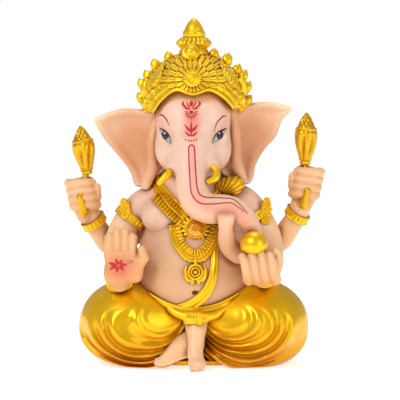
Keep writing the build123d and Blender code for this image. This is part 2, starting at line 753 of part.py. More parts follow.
right_armlet_room = cuff_room((-27.4, -3, 61.6), (-0.6, -0.1, -0.8), 6.8, 3.4)
left_armlet_room = cuff_room((27.2, -3, 62.2), (0.6, -0.1, -0.8), 6.8, 3.4)


def crest_blank(tip, foot, width):
    """A leaf-shaped plate, pointed at its tip, that stands in front of an armlet."""
    run = Vector(*tip) - Vector(*foot)
    with BuildPart() as plate:
        with BuildSketch():
            with BuildLine():
                outside = [(0, 0.9), (run.length * 0.4, width / 2), (run.length, 0)]
                edge = Spline(outside, tangents=[(0.6, 1), (1, -1)])
                Line((0, 0), edge @ 0)
                Line((0, 0), edge @ 1)
            make_face()
            mirror(about=Plane.XZ)
        extrude(amount=4)
    return plate.part.moved(Plane(foot, x_dir=run, z_dir=(0, -1, 0)).location)


with BuildPart() as right_armlet_crest:
    add(crest_blank((-30.8, -6.5, 70.2), (-29.6, -6.5, 61.4), 5.2))
    add(right_arm_form, mode=Mode.SUBTRACT)
    add(right_armlet_room, mode=Mode.SUBTRACT)
right_armlet_crest.part = largest(right_armlet_crest.part)
with BuildPart() as left_armlet_crest:
    add(crest_blank((31.2, -6.5, 70.8), (30.4, -6.5, 60), 4.6))
    add(left_arm_form, mode=Mode.SUBTRACT)
    add(left_armlet_room, mode=Mode.SUBTRACT)
left_armlet_crest.part = largest(left_armlet_crest.part)

# ---------------------------------------------------------------- trousers and seat
with BuildPart() as right_dhoti_leg:
    add(right_leg_form)
    add(right_arm_form, mode=Mode.SUBTRACT)
    add(waist_knot_room, mode=Mode.SUBTRACT)
    add(waistband.part, mode=Mode.SUBTRACT)
    add(front_right_bracelet.part, mode=Mode.SUBTRACT)
right_dhoti_leg.part = largest(right_dhoti_leg.part)
with BuildPart() as left_dhoti_leg:
    add(left_leg_form)
    add(waist_knot_room, mode=Mode.SUBTRACT)
    add(waistband.part, mode=Mode.SUBTRACT)
    add(front_left_bracelet.part, mode=Mode.SUBTRACT)
left_dhoti_leg.part = largest(left_dhoti_leg.part)
with BuildPart() as dhoti_seat:
    add(ellipsoid((0, 10, 16), (33, 19, 17)))
    add([underground, base_plate.part], mode=Mode.SUBTRACT)
    add(body_room, mode=Mode.SUBTRACT)
    add(waistband_room, mode=Mode.SUBTRACT)
    add(right_leg_form, mode=Mode.SUBTRACT)
    add(left_leg_form, mode=Mode.SUBTRACT)
dhoti_seat.part = largest(dhoti_seat.part)

# ---------------------------------------------------------------- names and files
torso.part.label = "torso"
head.part.label = "head"
right_ear.part.label = "right_ear"
left_ear.part.label = "left_ear"
right_tusk.part.label = "right_tusk"
left_tusk.part.label = "left_tusk"
crown_cap.part.label = "crown_cap"
crown_rim.part.label = "crown_rim"
crown_fan.part.label = "crown_fan"
crown_rosette.part.label = "crown_rosette"
crown_jewel.part.label = "crown_jewel"
crown_leaves.part.label = "crown_leaves"
finial_lotus.part.label = "finial_lotus"
finial_bud.part.label = "finial_bud"
collar.part.label = "collar"
chest_brooch.part.label = "chest_brooch"
chest_gem.part.label = "chest_gem"
festoon.part.label = "festoon"
pendant.part.label = "pendant"
sash.part.label = "sash"
front_right_arm.part.label = "front_right_arm"
front_right_hand.part.label = "front_right_hand"
front_left_arm.part.label = "front_left_arm"
front_left_hand.part.label = "front_left_hand"
modak.part.label = "modak"
rear_right_arm.part.label = "rear_right_arm"
rear_right_hand.part.label = "rear_right_hand"
rear_left_arm.part.label = "rear_left_arm"
rear_left_hand.part.label = "rear_left_hand"
right_mace.part.label = "right_mace"
left_mace.part.label = "left_mace"
front_right_bracelet.part.label = "front_right_bracelet"
front_left_bracelet.part.label = "front_left_bracelet"
rear_right_bracelet.part.label = "rear_right_bracelet"
rear_left_bracelet.part.label = "rear_left_bracelet"
right_armlet.part.label = "right_armlet"
left_armlet.part.label = "left_armlet"
right_armlet_crest.part.label = "right_armlet_crest"
left_armlet_crest.part.label = "left_armlet_crest"
waistband.part.label = "waistband"
waist_knot.part.label = "waist_knot"
right_dhoti_leg.part.label = "right_dhoti_leg"
left_dhoti_leg.part.label = "left_dhoti_leg"
dhoti_seat.part.label = "dhoti_seat"
hanging_foot.part.label = "hanging_foot"
folded_foot.part.label = "folded_foot"
base_plate.part.label = "base_plate"

export_step(torso.part, "parts/torso.step")
export_step(head.part, "parts/head.step")
export_step(right_ear.part, "parts/right_ear.step")
export_step(left_ear.part, "parts/left_ear.step")
export_step(right_tusk.part, "parts/right_tusk.step")
export_step(left_tusk.part, "parts/left_tusk.step")
export_step(crown_cap.part, "parts/crown_cap.step")
export_step(crown_rim.part, "parts/crown_rim.step")
export_step(crown_fan.part, "parts/crown_fan.step")
export_step(crown_rosette.part, "parts/crown_rosette.step")
export_step(crown_jewel.part, "parts/crown_jewel.step")
export_step(crown_leaves.part, "parts/crown_leaves.step")
export_step(finial_lotus.part, "parts/finial_lotus.step")
export_step(finial_bud.part, "parts/finial_bud.step")
export_step(collar.part, "parts/collar.step")
export_step(chest_brooch.part, "parts/chest_brooch.step")
export_step(chest_gem.part, "parts/chest_gem.step")
export_step(festoon.part, "parts/festoon.step")
export_step(pendant.part, "parts/pendant.step")
export_step(sash.part, "parts/sash.step")
export_step(front_right_arm.part, "parts/front_right_arm.step")
export_step(front_right_hand.part, "parts/front_right_hand.step")
export_step(front_left_arm.part, "parts/front_left_arm.step")
export_step(front_left_hand.part, "parts/front_left_hand.step")
export_step(modak.part, "parts/modak.step")
export_step(rear_right_arm.part, "parts/rear_right_arm.step")
export_step(rear_right_hand.part, "parts/rear_right_hand.step")
export_step(rear_left_arm.part, "parts/rear_left_arm.step")
export_step(rear_left_hand.part, "parts/rear_left_hand.step")
export_step(right_mace.part, "parts/right_mace.step")
export_step(left_mace.part, "parts/left_mace.step")
export_step(front_right_bracelet.part, "parts/front_right_bracelet.step")
export_step(front_left_bracelet.part, "parts/front_left_bracelet.step")
export_step(rear_right_bracelet.part, "parts/rear_right_bracelet.step")
export_step(rear_left_bracelet.part, "parts/rear_left_bracelet.step")
export_step(right_armlet.part, "parts/right_armlet.step")
export_step(left_armlet.part, "parts/left_armlet.step")
export_step(right_armlet_crest.part, "parts/right_armlet_crest.step")
export_step(left_armlet_crest.part, "parts/left_armlet_crest.step")
export_step(waistband.part, "parts/waistband.step")
export_step(waist_knot.part, "parts/waist_knot.step")
export_step(right_dhoti_leg.part, "parts/right_dhoti_leg.step")
export_step(left_dhoti_leg.part, "parts/left_dhoti_leg.step")
export_step(dhoti_seat.part, "parts/dhoti_seat.step")
export_step(hanging_foot.part, "parts/hanging_foot.step")
export_step(folded_foot.part, "parts/folded_foot.step")
export_step(base_plate.part, "parts/base_plate.step")
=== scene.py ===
"""The looks of a painted cast-resin idol, sculpted as distance fields over its CAD frame.

Every cast piece is a function that gives the distance from a point to the piece's surface, in
millimetres. sculpt() samples that function near the surface, takes the surface out as a
closed mesh and pulls its points onto it. painted() lays the painted marks over those
surfaces as thin films.
"""
import math
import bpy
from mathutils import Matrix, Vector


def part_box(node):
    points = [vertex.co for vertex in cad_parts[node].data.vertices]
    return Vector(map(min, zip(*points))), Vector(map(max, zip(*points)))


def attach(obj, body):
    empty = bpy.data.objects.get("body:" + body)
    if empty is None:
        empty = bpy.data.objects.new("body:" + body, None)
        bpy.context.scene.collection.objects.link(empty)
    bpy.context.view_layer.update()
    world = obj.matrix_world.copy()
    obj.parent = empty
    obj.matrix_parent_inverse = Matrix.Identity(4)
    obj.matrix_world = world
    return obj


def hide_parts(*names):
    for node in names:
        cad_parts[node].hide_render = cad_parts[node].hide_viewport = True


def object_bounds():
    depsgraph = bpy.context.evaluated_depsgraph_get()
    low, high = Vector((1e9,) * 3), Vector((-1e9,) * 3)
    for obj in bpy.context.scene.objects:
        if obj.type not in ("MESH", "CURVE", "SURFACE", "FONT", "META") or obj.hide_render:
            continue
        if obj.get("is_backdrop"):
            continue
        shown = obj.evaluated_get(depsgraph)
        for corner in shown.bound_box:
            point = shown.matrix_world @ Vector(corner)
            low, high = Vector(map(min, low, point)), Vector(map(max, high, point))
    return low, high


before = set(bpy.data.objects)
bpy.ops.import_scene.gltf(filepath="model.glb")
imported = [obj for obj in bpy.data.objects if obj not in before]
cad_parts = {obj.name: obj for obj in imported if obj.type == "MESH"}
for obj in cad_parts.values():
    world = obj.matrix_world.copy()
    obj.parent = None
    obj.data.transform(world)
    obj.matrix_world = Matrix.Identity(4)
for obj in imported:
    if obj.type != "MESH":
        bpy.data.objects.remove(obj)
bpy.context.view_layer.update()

from concurrent.futures import ThreadPoolExecutor

import bmesh
import bpy
import numpy as np
import openvdb
from mathutils import Vector

MM = 0.001
COARSE = 1.0  # trial runs use bigger voxels
BLOCK = 8  # voxels along each side of the blocks that a field is sampled in
WORKERS = ThreadPoolExecutor(4)


# ------------------------------------------------------------------ places in the frame
def box(node):
    """Lowest and highest corner of a CAD node, in millimetres."""
    low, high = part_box(node)
    return np.array(low) / MM, np.array(high) / MM


def mid(node):
    """Centre of a CAD node's box, in millimetres."""
    low, high = box(node)
    return (low + high) / 2


# ------------------------------------------------------------------ distance fields
def unit(x):
    """Values held between 0 and 1."""
    return np.clip(x, 0, 1)


def length(v):
    """The length of each vector in an array."""
    return np.sqrt(np.einsum("...i,...i->...", v, v))


def ball(p, centre, radius):
    return length(p - centre) - radius


def oval(q, radii):
    """About how far points lie outside an ellipse or ellipsoid round the origin."""
    near = length(q / radii)
    return near * (near - 1.0) / np.maximum(length(q / radii**2), 1e-9)


def turned(x=0.0, y=0.0):
    """The matrix that takes a point into a frame turned by these degrees."""
    a, b = math.radians(x), math.radians(y)
    rx = np.array([[1, 0, 0], [0, math.cos(a), -math.sin(a)], [0, math.sin(a), math.cos(a)]])
    ry = np.array([[math.cos(b), 0, math.sin(b)], [0, 1, 0], [-math.sin(b), 0, math.cos(b)]])
    return ry @ rx


def egg(p, centre, radii, turn=None):
    """A ball stretched to three radii."""
    q = p - centre
    return oval(q if turn is None else q @ turn, np.array(radii, float))


def block(p, centre, half, rounding=0.0, turn=None):
    """A box with rounded edges."""
    q = p - centre
    q = np.abs(q if turn is None else q @ turn) - (np.asarray(half, float) - rounding)
    return length(np.maximum(q, 0)) + np.minimum(q.max(axis=-1), 0) - rounding


def stick(p, a, b, ra, rb):
    """A round rod whose radius goes from ra to rb."""
    a = np.asarray(a, float)
    run = np.asarray(b, float) - a
    h = unit(((p - a) @ run) / (run @ run))
    return length(p - a - h[:, None] * run) - (ra + (rb - ra) * h)


def curve(points, steps=5):
    """Points along a smooth curve through these points."""
    points = np.asarray(points, float)
    padded = np.vstack([2 * points[0] - points[1], points, 2 * points[-1] - points[-2]])
    out = []
    for i in range(len(points) - 1):
        a, b, c, d = padded[i : i + 4]
        for t in np.arange(steps) / steps:
            square, cube = 2 * a - 5 * b + 4 * c - d, 3 * b - a - 3 * c + d
            out.append(0.5 * (2 * b + (c - a) * t + square * t**2 + cube * t**3))
    out.append(points[-1])
    return np.array(out)


def trail(p, points):
    """Distance from each point to a line of points, and how far along it that is, from 0 to 1."""
    runs = np.diff(points, axis=0)
    spans = np.sqrt((runs**2).sum(axis=1))
    starts = np.concatenate([[0], np.cumsum(spans)])
    best = np.full(len(p), 1e9)
    along = np.zeros(len(p))
    for i, run in enumerate(runs):
        q = p - points[i]
        h = unit((q @ run) / (run @ run))
        d = length(q - h[:, None] * run)
        nearer = d < best
        best = np.where(nearer, d, best)
        along = np.where(nearer, starts[i] + h * spans[i], along)
    return best, along / starts[-1]


def tube(p, points, radii, steps=5):
    """A round tube along a smooth curve; radii are spaced evenly along it."""
    line = curve(points, steps)
    distance, along = trail(p, line)
    return distance - np.interp(along, np.linspace(0, 1, len(radii)), radii)


def blend(a, b, k):
    """Both shapes, run into each other over a width k."""
    h = unit(0.5 + 0.5 * (b - a) / k)
    return b * (1 - h) + a * h - k * h * (1 - h)


def carve(a, b, k=0.4):
    """Shape a with shape b taken out of it."""
    return -blend(-a, b, k)


def within(a, b, k=0.4):
    """What shapes a and b share."""
    return -blend(-a, -b, k)


def stack(p, levels):
    """A form given by ellipses at rising heights: (z, half width, half depth, centre y)."""
    table = np.asarray(levels, float)
    z = p[:, 2]
    fine = curve(table, 6)
    wide, deep, middle = (np.interp(z, fine[:, 0], fine[:, i]) for i in (1, 2, 3))
    side = oval(np.stack([p[:, 0], p[:, 1] - middle], axis=1), np.stack([wide, deep], axis=1))
    ends = np.maximum(table[0, 0] - z, z - table[-1, 0])
    return within(side, ends, 2.0)


def outline(u, v, corners):
    """Signed distance in a plane to a closed outline, negative inside."""
    corners = np.asarray(corners, float)
    best = np.full(u.shape, 1e9)
    inside = np.zeros(u.shape, bool)
    for i in range(len(corners)):
        ax, ay = corners[i]
        bx, by = corners[(i + 1) % len(corners)]
        ex, ey = bx - ax, by - ay
        h = unit(((u - ax) * ex + (v - ay) * ey) / (ex * ex + ey * ey))
        best = np.minimum(best, (u - ax - h * ex) ** 2 + (v - ay - h * ey) ** 2)
        if by != ay:
            crosses = ((ay > v) != (by > v)) & (u < (bx - ax) * (v - ay) / (by - ay) + ax)
            inside ^= crosses
    return np.where(inside, -1, 1) * np.sqrt(best)


def bump(x):
    """1 at 0, falling smoothly to 0 at -1 and 1."""
    return unit(1 - x * x) ** 1.5


def wave(x):
    """A row of round ridges, one a unit, from 0 to 1."""
    return np.abs(np.cos(np.pi * x)) ** 0.8


# ------------------------------------------------------------------ fields into meshes
def sampled(field, low, voxel, counts):
    """The field on a grid, worked out only in the blocks that the surface passes through."""
    blocks = [int(math.ceil(c / BLOCK)) for c in counts]
    centre = [low[i] + (np.arange(blocks[i]) * BLOCK + (BLOCK - 1) / 2) * voxel for i in range(3)]
    mids = np.stack(np.meshgrid(*centre, indexing="ij"), axis=-1).reshape(-1, 3)
    rough = np.concatenate(list(WORKERS.map(field, np.array_split(mids, 16))))
    reach = BLOCK * voxel * 1.35 + 0.6  # more than a block's half diagonal, as fields are rough
    values = np.repeat(rough.astype(np.float32), BLOCK**3).reshape(*blocks, BLOCK, BLOCK, BLOCK)
    step = np.arange(BLOCK) * voxel
    cell = np.stack(np.meshgrid(step, step, step, indexing="ij"), axis=-1).reshape(1, -1, 3)
    active = np.flatnonzero(np.abs(rough) < reach)
    corner = mids - (BLOCK - 1) / 2 * voxel
    flat = values.reshape(-1, BLOCK**3)

    def fill(chosen):
        points = (corner[chosen][:, None, :] + cell).reshape(-1, 3)
        flat[chosen] = field(points).reshape(len(chosen), -1)

    list(WORKERS.map(fill, np.array_split(active, max(1, len(active) // 48))))
    return values.transpose(0, 3, 1, 4, 2, 5).reshape(*(b * BLOCK for b in blocks))


def slope(field, p):
    """The field's gradient, from four points round each point."""
    step = 0.05
    total = np.zeros_like(p)
    for corner in ((1, -1, -1), (-1, -1, 1), (-1, 1, -1), (1, 1, 1)):
        corner = np.array(corner, float)
        total += field(p + corner * step)[:, None] * corner
    return total / (4 * step)


def settled(field, p, voxel):
    """Points pulled onto the surface, none by more than 0.6 of a voxel."""

    def pull(q):
        grade = slope(field, q)
        shift = field(q)[:, None] * grade / np.maximum((grade**2).sum(axis=1), 0.05)[:, None]
        size = np.maximum(length(shift), 1e-9)
        return q - shift * np.minimum(1, 0.6 * voxel / size)[:, None]

    return np.concatenate(list(WORKERS.map(pull, np.array_split(p, max(4, len(p) // 20000)))))


def mesh_object(name, points, faces, material):
    """A smooth mesh object from arrays of points, in millimetres, and four-cornered faces."""
    mesh = bpy.data.meshes.new(name)
    mesh.vertices.add(len(points))
    mesh.vertices.foreach_set("co", (points * MM).astype(np.float32).ravel())
    mesh.loops.add(faces.size)
    mesh.loops.foreach_set("vertex_index", faces.astype(np.int32).ravel())
    mesh.polygons.add(len(faces))
    mesh.polygons.foreach_set("loop_start", np.arange(0, faces.size, 4, dtype=np.int32))
    mesh.update(calc_edges=True)
    mesh.validate()
    mesh.polygons.foreach_set("use_smooth", np.ones(len(mesh.polygons), bool))
    mesh.materials.append(material)
    piece = bpy.data.objects.new(name, mesh)
    bpy.context.collection.objects.link(piece)
    return piece


def tint(piece, name, values):
    """A number on every vertex that the piece's material reads."""
    layer = piece.data.attributes.new(name, "FLOAT", "POINT")
    layer.data.foreach_set("value", unit(values).astype(np.float32))


def sculpt(name, field, low, high, voxel, material, node, **tints):
    """Makes a piece from its distance field inside a box, to stand for one CAD node."""
    voxel = voxel * COARSE
    low = low - 2.5 * voxel
    counts = np.ceil((high + 2.5 * voxel - low) / voxel).astype(int) + 1
    values = sampled(field, low, voxel, counts)
    grid = openvdb.FloatGrid(float(values.max()))
    grid.copyFromArray(values)
    points, quads = grid.convertToQuads(0.0)
    points = settled(field, low + points.astype(float) * voxel, voxel)
    piece = mesh_object(name, points, quads, material)
    for key, function in tints.items():
        tint(piece, key, function(points))
    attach(piece, "root")
    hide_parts(node)


# ------------------------------------------------------------------ body and limbs
# Shapes are written round the CAD's own centre lines, and each moves with its CAD node.
def follow(node, x, y, z):
    """How far a CAD node's box centre lies from where these shapes expect it."""
    return mid(node) - np.array([x, y, z], float)


def mirrored(p):
    """Points folded onto the figure's left half."""
    return np.stack([np.abs(p[:, 0]), p[:, 1], p[:, 2]], axis=1)


# Levels of the body, each (height, half width, half depth, centre y).
TORSO = [
    (12, 23, 19, 3),
    (24, 23.8, 23.5, 0),
    (38, 24.4, 26.5, -1.5),
    (50, 22.8, 24, -1),
    (60, 21.2, 20, 0.5),
    (68, 21.5, 17, 2),
    (74, 20, 14.5, 3),
    (79, 17, 11.5, 3.5),
    (84, 12, 10, 4),
    (89, 8, 8.5, 4),
]
RIGHT_ARM = [
    (-14, -1, 70), (-21.5, -2.2, 67.5), (-27.6, -3, 61.4), (-32, -4, 53.5),
    (-33, -9, 45.6), (-32.4, -17, 39.6), (-31.2, -25, 36.6),
]
LEFT_ARM = [
    (14, -1, 71), (21.3, -2.2, 68.5), (27.2, -3, 62.2), (31.6, -4, 54),
    (33, -9, 46.4), (31.8, -17, 41.4), (29.2, -26, 39.2),
]
ARM_RADII = [6.6, 6.5, 6.0, 5.7, 5.3, 4.8, 4.3]
RIGHT_REAR = [
    (-14, 8, 64), (-24, 9.5, 55.5), (-34.5, 7.5, 48.8), (-40, 4, 54), (-44.2, 1, 61.5), (-46.2, 0, 66),
]
LEFT_REAR = [(14, 8, 65), (24, 9.5, 56.5), (35.5, 7.5, 50.4), (41, 4, 56.4), (45.4, 1, 64.6), (46.8, 0, 70)]
REAR_RADII = [5.6, 5.4, 5.1, 4.9, 4.5, 4.6]

# Where each armlet sits and which way the arm runs there: body and arm are cut apart under it.
ARMLETS = {"right": ((-27.4, -3, 61.6), (-0.6, -0.1, -0.8)), "left": ((27.2, -3, 62.2), (0.6, -0.1, -0.8))}


def beyond(p, place, direction):
    """How far past a cutting plane each point is."""
    return (p - np.asarray(place, float)) @ (direction / length(np.array(direction, float)))


def skin_front(p):
    """The bare body with chest and belly, which the chest ornaments lie on."""
    f = stack(p, TORSO)
    f = blend(f, egg(mirrored(p), (13.8, -11.2, 63.2), (8.6, 8.8, 7.7)), 1.3)
    return blend(f, egg(p, (0, -6.5, 36), (24.3, 21.8, 21)), 8)


def torso_field(p):
    """The body with the stubs of all four arms, and the navel."""
    f = skin_front(p)
    for path, side in ((RIGHT_ARM, "right"), (LEFT_ARM, "left")):
        arm = within(tube(p, path[:4], ARM_RADII[:4]), beyond(p, *ARMLETS[side]), 0.3)
        f = blend(f, arm, 3.5)
    for path in (RIGHT_REAR, LEFT_REAR):
        arm = tube(p, path[:3], REAR_RADII[:3])
        f = blend(f, within(arm, beyond(p, path[1], np.subtract(path[2], path[1])) - 3, 0.3), 3.5)
    return carve(f, egg(p, (0.6, -28.9, 32.6), (1.2, 1.7, 0.9)), 1.0)


def front_arm_field(path, side=None):
    """A front arm, cut off at its armlet when a side is named."""

    def field(p):
        f = tube(p, path, ARM_RADII)
        return within(f, -beyond(p, *ARMLETS[side]) - 0.6, 0.3) if side else f

    return field


def rear_arm_field(path):
    """A rear arm, cut off at its second point, where the body's stub ends."""

    def field(p):
        f = tube(p, path, REAR_RADII)
        return within(f, -beyond(p, path[1], np.subtract(path[2], path[1])), 0.3)

    return field


# ------------------------------------------------------------------ head, trunk and ears
# The trunk's middle line from the forehead down, round its curl and up to the tip.
TRUNK = [
    (-1.0, -15, 97),
    (-1.3, -20.5, 90.5),
    (-1.1, -25.5, 82),
    (-0.6, -28, 75.7),
    (1.9, -29.5, 70.6),
    (7, -30, 68.0),
    (12.5, -30.5, 68.3),
    (17.8, -30.5, 67.3),
    (21.8, -29.5, 63.9),
    (24.2, -27.5, 58.9),
    (24.6, -25, 53.1),
    (22.7, -24.4, 49.4),
    (18.8, -25.2, 48.4),
    (15.2, -27.4, 51.6),
    (13.7, -31, 55.5),
    (13.2, -35.4, 60.3),
    (13.4, -38, 65.6),
]
TRUNK_RADII = [10, 8.8, 7.3, 6.5, 6.6, 6.7, 6.3, 5.7, 4.9, 4.3, 4, 4, 4, 4, 3.5, 2.9, 3.7]


def trunk_field(p):
    """The trunk down to its curl, and the tip that comes up from it, cut flat and hollowed."""
    f = tube(p, TRUNK[:13], TRUNK_RADII[:13], 4)
    tip = tube(p, TRUNK[11:], TRUNK_RADII[11:], 4)
    tip = within(tip, -beyond(p, (13.4, -38.4, 66.6), (0.0, 0.15, -1)), 1.0)
    tip = carve(tip, ball(p, (13.6, -38.8, 68.4), 2.2), 0.8)
    return np.minimum(f, tip)


def head_field(p):
    """Skull, brow domes, cheeks, jaw, trunk, tusk sheaths and eye sockets in one skin."""
    q = mirrored(p - (-0.3, 0, 0))
    f = egg(p, (-0.3, -1.5, 99), (16.0, 18.6, 18.5))
    f = blend(f, egg(q, (5.5, -8.5, 107), (9.6, 11.2, 10)), 5)
    f = blend(f, egg(q, (9.3, -9.5, 91.5), (6.9, 9.6, 8.8)), 4)
    f = blend(f, egg(p, (-0.3, -6, 85), (10.5, 11.5, 6.4)), 4)
    f = blend(f, trunk_field(p), 4.5)
    f = blend(f, stick(q, (5.6, -19, 89.5), (8.4, -22.6, 85.4), 3.2, 2.5), 4)
    f = carve(f, egg(q, (12.4, -20.4, 98.4), (3.6, 3.0, 4.6), turned(y=18)), 2.4)
    return blend(f, egg(q, (11.3, -14.6, 97.9), (3.3, 3.4, 3.5)), 0.7)


def right_tusk_field(p):
    return tube(p, [(-8.6, -23.2, 84.2), (-11.0, -25.6, 82.0), (-14.2, -27.2, 78.8)], [1.3, 1.75, 1.35], 5)


def left_tusk_field(p):
    path = [(7.2, -24.2, 86.0), (9.6, -26.2, 83.2), (8.8, -28.4, 80.6), (6.0, -29.6, 79.2)]
    return tube(p, path, [1.1, 1.6, 1.6, 1.1], 5)


# Outlines of the ears seen from the front, as (x, z).
RIGHT_EAR = [
    (-14.8, 106.4), (-25.7, 108.5), (-32.9, 108.2), (-39.5, 105.9), (-43.0, 104.2), (-42.0, 101.3),
    (-38.8, 95.3), (-34.8, 90.3), (-29.9, 84.4), (-27.2, 80.2), (-26.4, 77.0), (-24.9, 75.2),
    (-22.0, 74.9), (-18.4, 77.3), (-14.2, 80.6), (-11.0, 84.6), (-11.0, 93),
]
LEFT_EAR = [
    (14.6, 108.5), (23.1, 110.7), (31.6, 111.4), (39, 110.2), (42.0, 108.6), (40.4, 106),
    (37.9, 103.2), (35.4, 96.2), (30.9, 91.1), (26.8, 84.3), (25.9, 79.6), (24.6, 76.9),
    (21.8, 76.0), (17.2, 77.6), (12.6, 80.2), (10.4, 85), (11, 94),
]


def smooth_loop(corners):
    """A closed smooth curve through these corners."""
    steps = 4
    closed = curve(corners + corners[:3], steps)
    return closed[steps : steps * (len(corners) + 1)]


def ear_field(corners, bowl, side):
    """A thin ear, hollowed towards its bowl, with a rolled rim and a fold where it joins the head."""
    loop = smooth_loop(corners)
    fold = [
        (side * 15.5, -3, bowl[1] + 10),
        (side * 17.6, -5.6, bowl[1] + 2),
        (side * 17.8, -6.6, bowl[1] - 8),
        (side * 20.6, -5.6, bowl[1] - 17),
    ]

    def field(p):
        x, y, z = p[:, 0], p[:, 1], p[:, 2]
        edge = outline(x, z, loop)
        reach = (x - bowl[0]) ** 2 + ((z - bowl[1]) * 0.92) ** 2
        middle = 5.4 - 0.021 * reach
        roll = 1.15 + 1.0 * np.exp(-(((edge + 1.6) / 2.0) ** 2))
        f = within((np.abs(y - middle) - roll) * 0.86, edge, 1.8)
        return blend(f, tube(p, fold, [2.4, 2.6, 2.7, 2.2], 4), 2.6)

    return field


# ------------------------------------------------------------------ hands
def right_palm_field(p):
    """An open palm with its fingers held together."""
    f = block(p, (-30.4, -28.4, 44.4), (6.9, 2.8, 7.2), 2.7, turned(x=6))
    f = blend(f, egg(p, (-25.2, -29.6, 42.4), (3.8, 3.3, 5.6), turned(y=-18)), 2)
    f = blend(f, egg(p, (-33.2, -29.6, 40.6), (4.2, 3.2, 5.0)), 2)
    f = blend(f, stick(p, (-24.2, -29.4, 43), (-20.9, -30.2, 47.4), 2.7, 2.05), 1.6)
    f = blend(f, stick(p, (-20.9, -30.2, 47.4), (-21.7, -30.4, 51.0), 2.05, 1.75), 0.8)
    f = blend(f, block(p, (-30.5, -28.0, 52.4), (6.8, 1.1, 4.6), 1.0), 1.0)
    for x, top, lean in ((-35.6, 56.2, 0.3), (-32.3, 58.3, 0.1), (-28.8, 58.2, -0.1), (-25.4, 56.0, -0.3)):
        path = [(x, -28.7, 48), (x + lean, -29.0, 53), (x + lean * 1.4, -28.4, top)]
        f = blend(f, tube(p, path, [2.1, 2.0, 1.75], 3), 0.5)
    f = blend(f, stick(p, (-31.1, -25, 36.8), (-30.8, -28.2, 39.4), 4.3, 4.4), 2)
    for z, depth in ((48.4, 0.55), (45.6, 0.5)):
        f = carve(f, stick(p, (-36.2, -31.9, z - 0.8), (-25.8, -31.9, z + 0.6), depth, depth), 0.8)
    return f


def left_palm_field(p):
    """A cupped hand whose fingers and thumb stand up round the sweet."""
    f = egg(p, (28.4, -32.5, 43.6), (7.6, 7.4, 6.2))
    for x, top in ((21.0, 50.2), (24.6, 51.4), (28.3, 51.6), (32.0, 50.6)):
        path = [
            (x + 2.0, -33.5, 38.8),
            (x + 1.3, -38.2, 41.2),
            (x + 0.4, -39.4, 46),
            (x - 0.6, -37.2, top - 1.6),
        ]
        f = blend(f, tube(p, path, [2.6, 2.25, 2.1, 1.9], 4), 0.45)
    thumb = tube(p, [(33.4, -27, 41.5), (35.2, -31, 46), (34.2, -34.6, 50.2)], [3.2, 2.5, 1.9], 4)
    f = blend(f, thumb, 1.0)
    return blend(f, stick(p, (29, -25, 41), (28.6, -30, 42), 4.6, 5.2), 2.5)


def fist_field(centre, side):
    """A hand closed round a mace, its knuckles tipped up on the outer side."""
    place, lean = np.array(centre, float), turned(y=side * 13)

    def field(points):
        p = (points - place) @ lean
        f = block(p, (0, 0.6, -0.4), (6.3, 4.6, 7.6), 4.4)
        for row in range(4):
            height = 5.2 - 3.3 * row
            bend = [
                (side * 5.2, -1.6, height + 0.6),
                (side * 2.4, -4.9, height + 0.3),
                (-side * 2.4, -5.1, height - 0.5),
                (-side * 4.8, -3.0, height - 1.2),
            ]
            f = blend(f, tube(p, bend, [2.05, 2.0, 1.9, 1.75], 4), 0.6)
        f = blend(f, stick(p, (-side * 5.4, -1.6, -2.6), (-side * 6.6, -3.4, 1.8), 1.9, 1.4), 0.9)
        wrist = stick(points - place, (-side * 1.2, 1, -9), (0, 0, -3), 4.5, 5.2)
        return blend(f, wrist, 2.5)

    return field


SWEET_CENTRE = (25.0, -34.6, 53.4)


def sweet_field(p):
    return ball(p, SWEET_CENTRE, 5.7)


# ------------------------------------------------------------------ gold work
def lathe(p, corners):
    """A turned form about the upright axis, from its outline of (radius, height)."""
    corners = [(-c[0], c[1]) for c in reversed(corners)] + list(corners)
    return outline(length(p[:, :2]), p[:, 2], corners)


def upright(p, foot, tip):
    """Points seen by a form that stands on foot and points at tip."""
    axis = np.subtract(tip, foot) / math.dist(foot, tip)
    across = np.cross(axis, (0, 0, 1) if abs(axis[1]) > 0.8 else (0, 1, 0))
    across /= length(across)
    return (p - np.asarray(foot, float)) @ np.stack([across, np.cross(axis, across), axis], axis=1)


def about(p, foot, tip):
    """Points as upright() gives them, with their distance and angle about the axis."""
    q = upright(p, foot, tip)
    return q, np.hypot(q[:, 0], q[:, 1]), np.arctan2(q[:, 0], q[:, 1])


def ribbon(p, points):
    """Where a point lies on a band drawn on the front: across it, along it, and the band's length."""
    line = curve(points, 6)
    x, z = p[:, 0], p[:, 2]
    best, across, along = np.full(len(p), 1e9), np.zeros(len(p)), np.zeros(len(p))
    start = 0.0
    for i in range(len(line) - 1):
        ex, ez = line[i + 1] - line[i]
        span = math.hypot(ex, ez)
        dx, dz = x - line[i][0], z - line[i][1]
        h = (dx * ex + dz * ez) / span
        inside = np.clip(h, 0 if i else -9, span if i < len(line) - 2 else span + 9)
        over = np.clip(h, 0, span)
        d = np.hypot(dx - over * ex / span, dz - over * ez / span)
        nearer = d < best
        best = np.where(nearer, d, best)
        side = np.where(dx * ez - dz * ex > 0, 1, -1)
        across = np.where(nearer, d * side, across)
        along = np.where(nearer, start + inside, along)
        start += span
    return across, along, start


def beyond_ends(along, span):
    """How far past either end of a band a point lies."""
    return np.maximum(-along, along - span)


def dome_field(p, grow=0.0):
    """The crown's bare dome: an upright band that tucks in below, and half an egg on it."""
    z = p[:, 2]
    low = length(p[:, :2]) - (21.8 + grow - ((112 - np.minimum(z, 112)) / 11) ** 2 * 2.2)
    high = egg(p, (0, 0, 112), (21.8 + grow, 21.8 + grow, 19.9 + grow))
    return np.where(z < 112, low * 0.98, high)


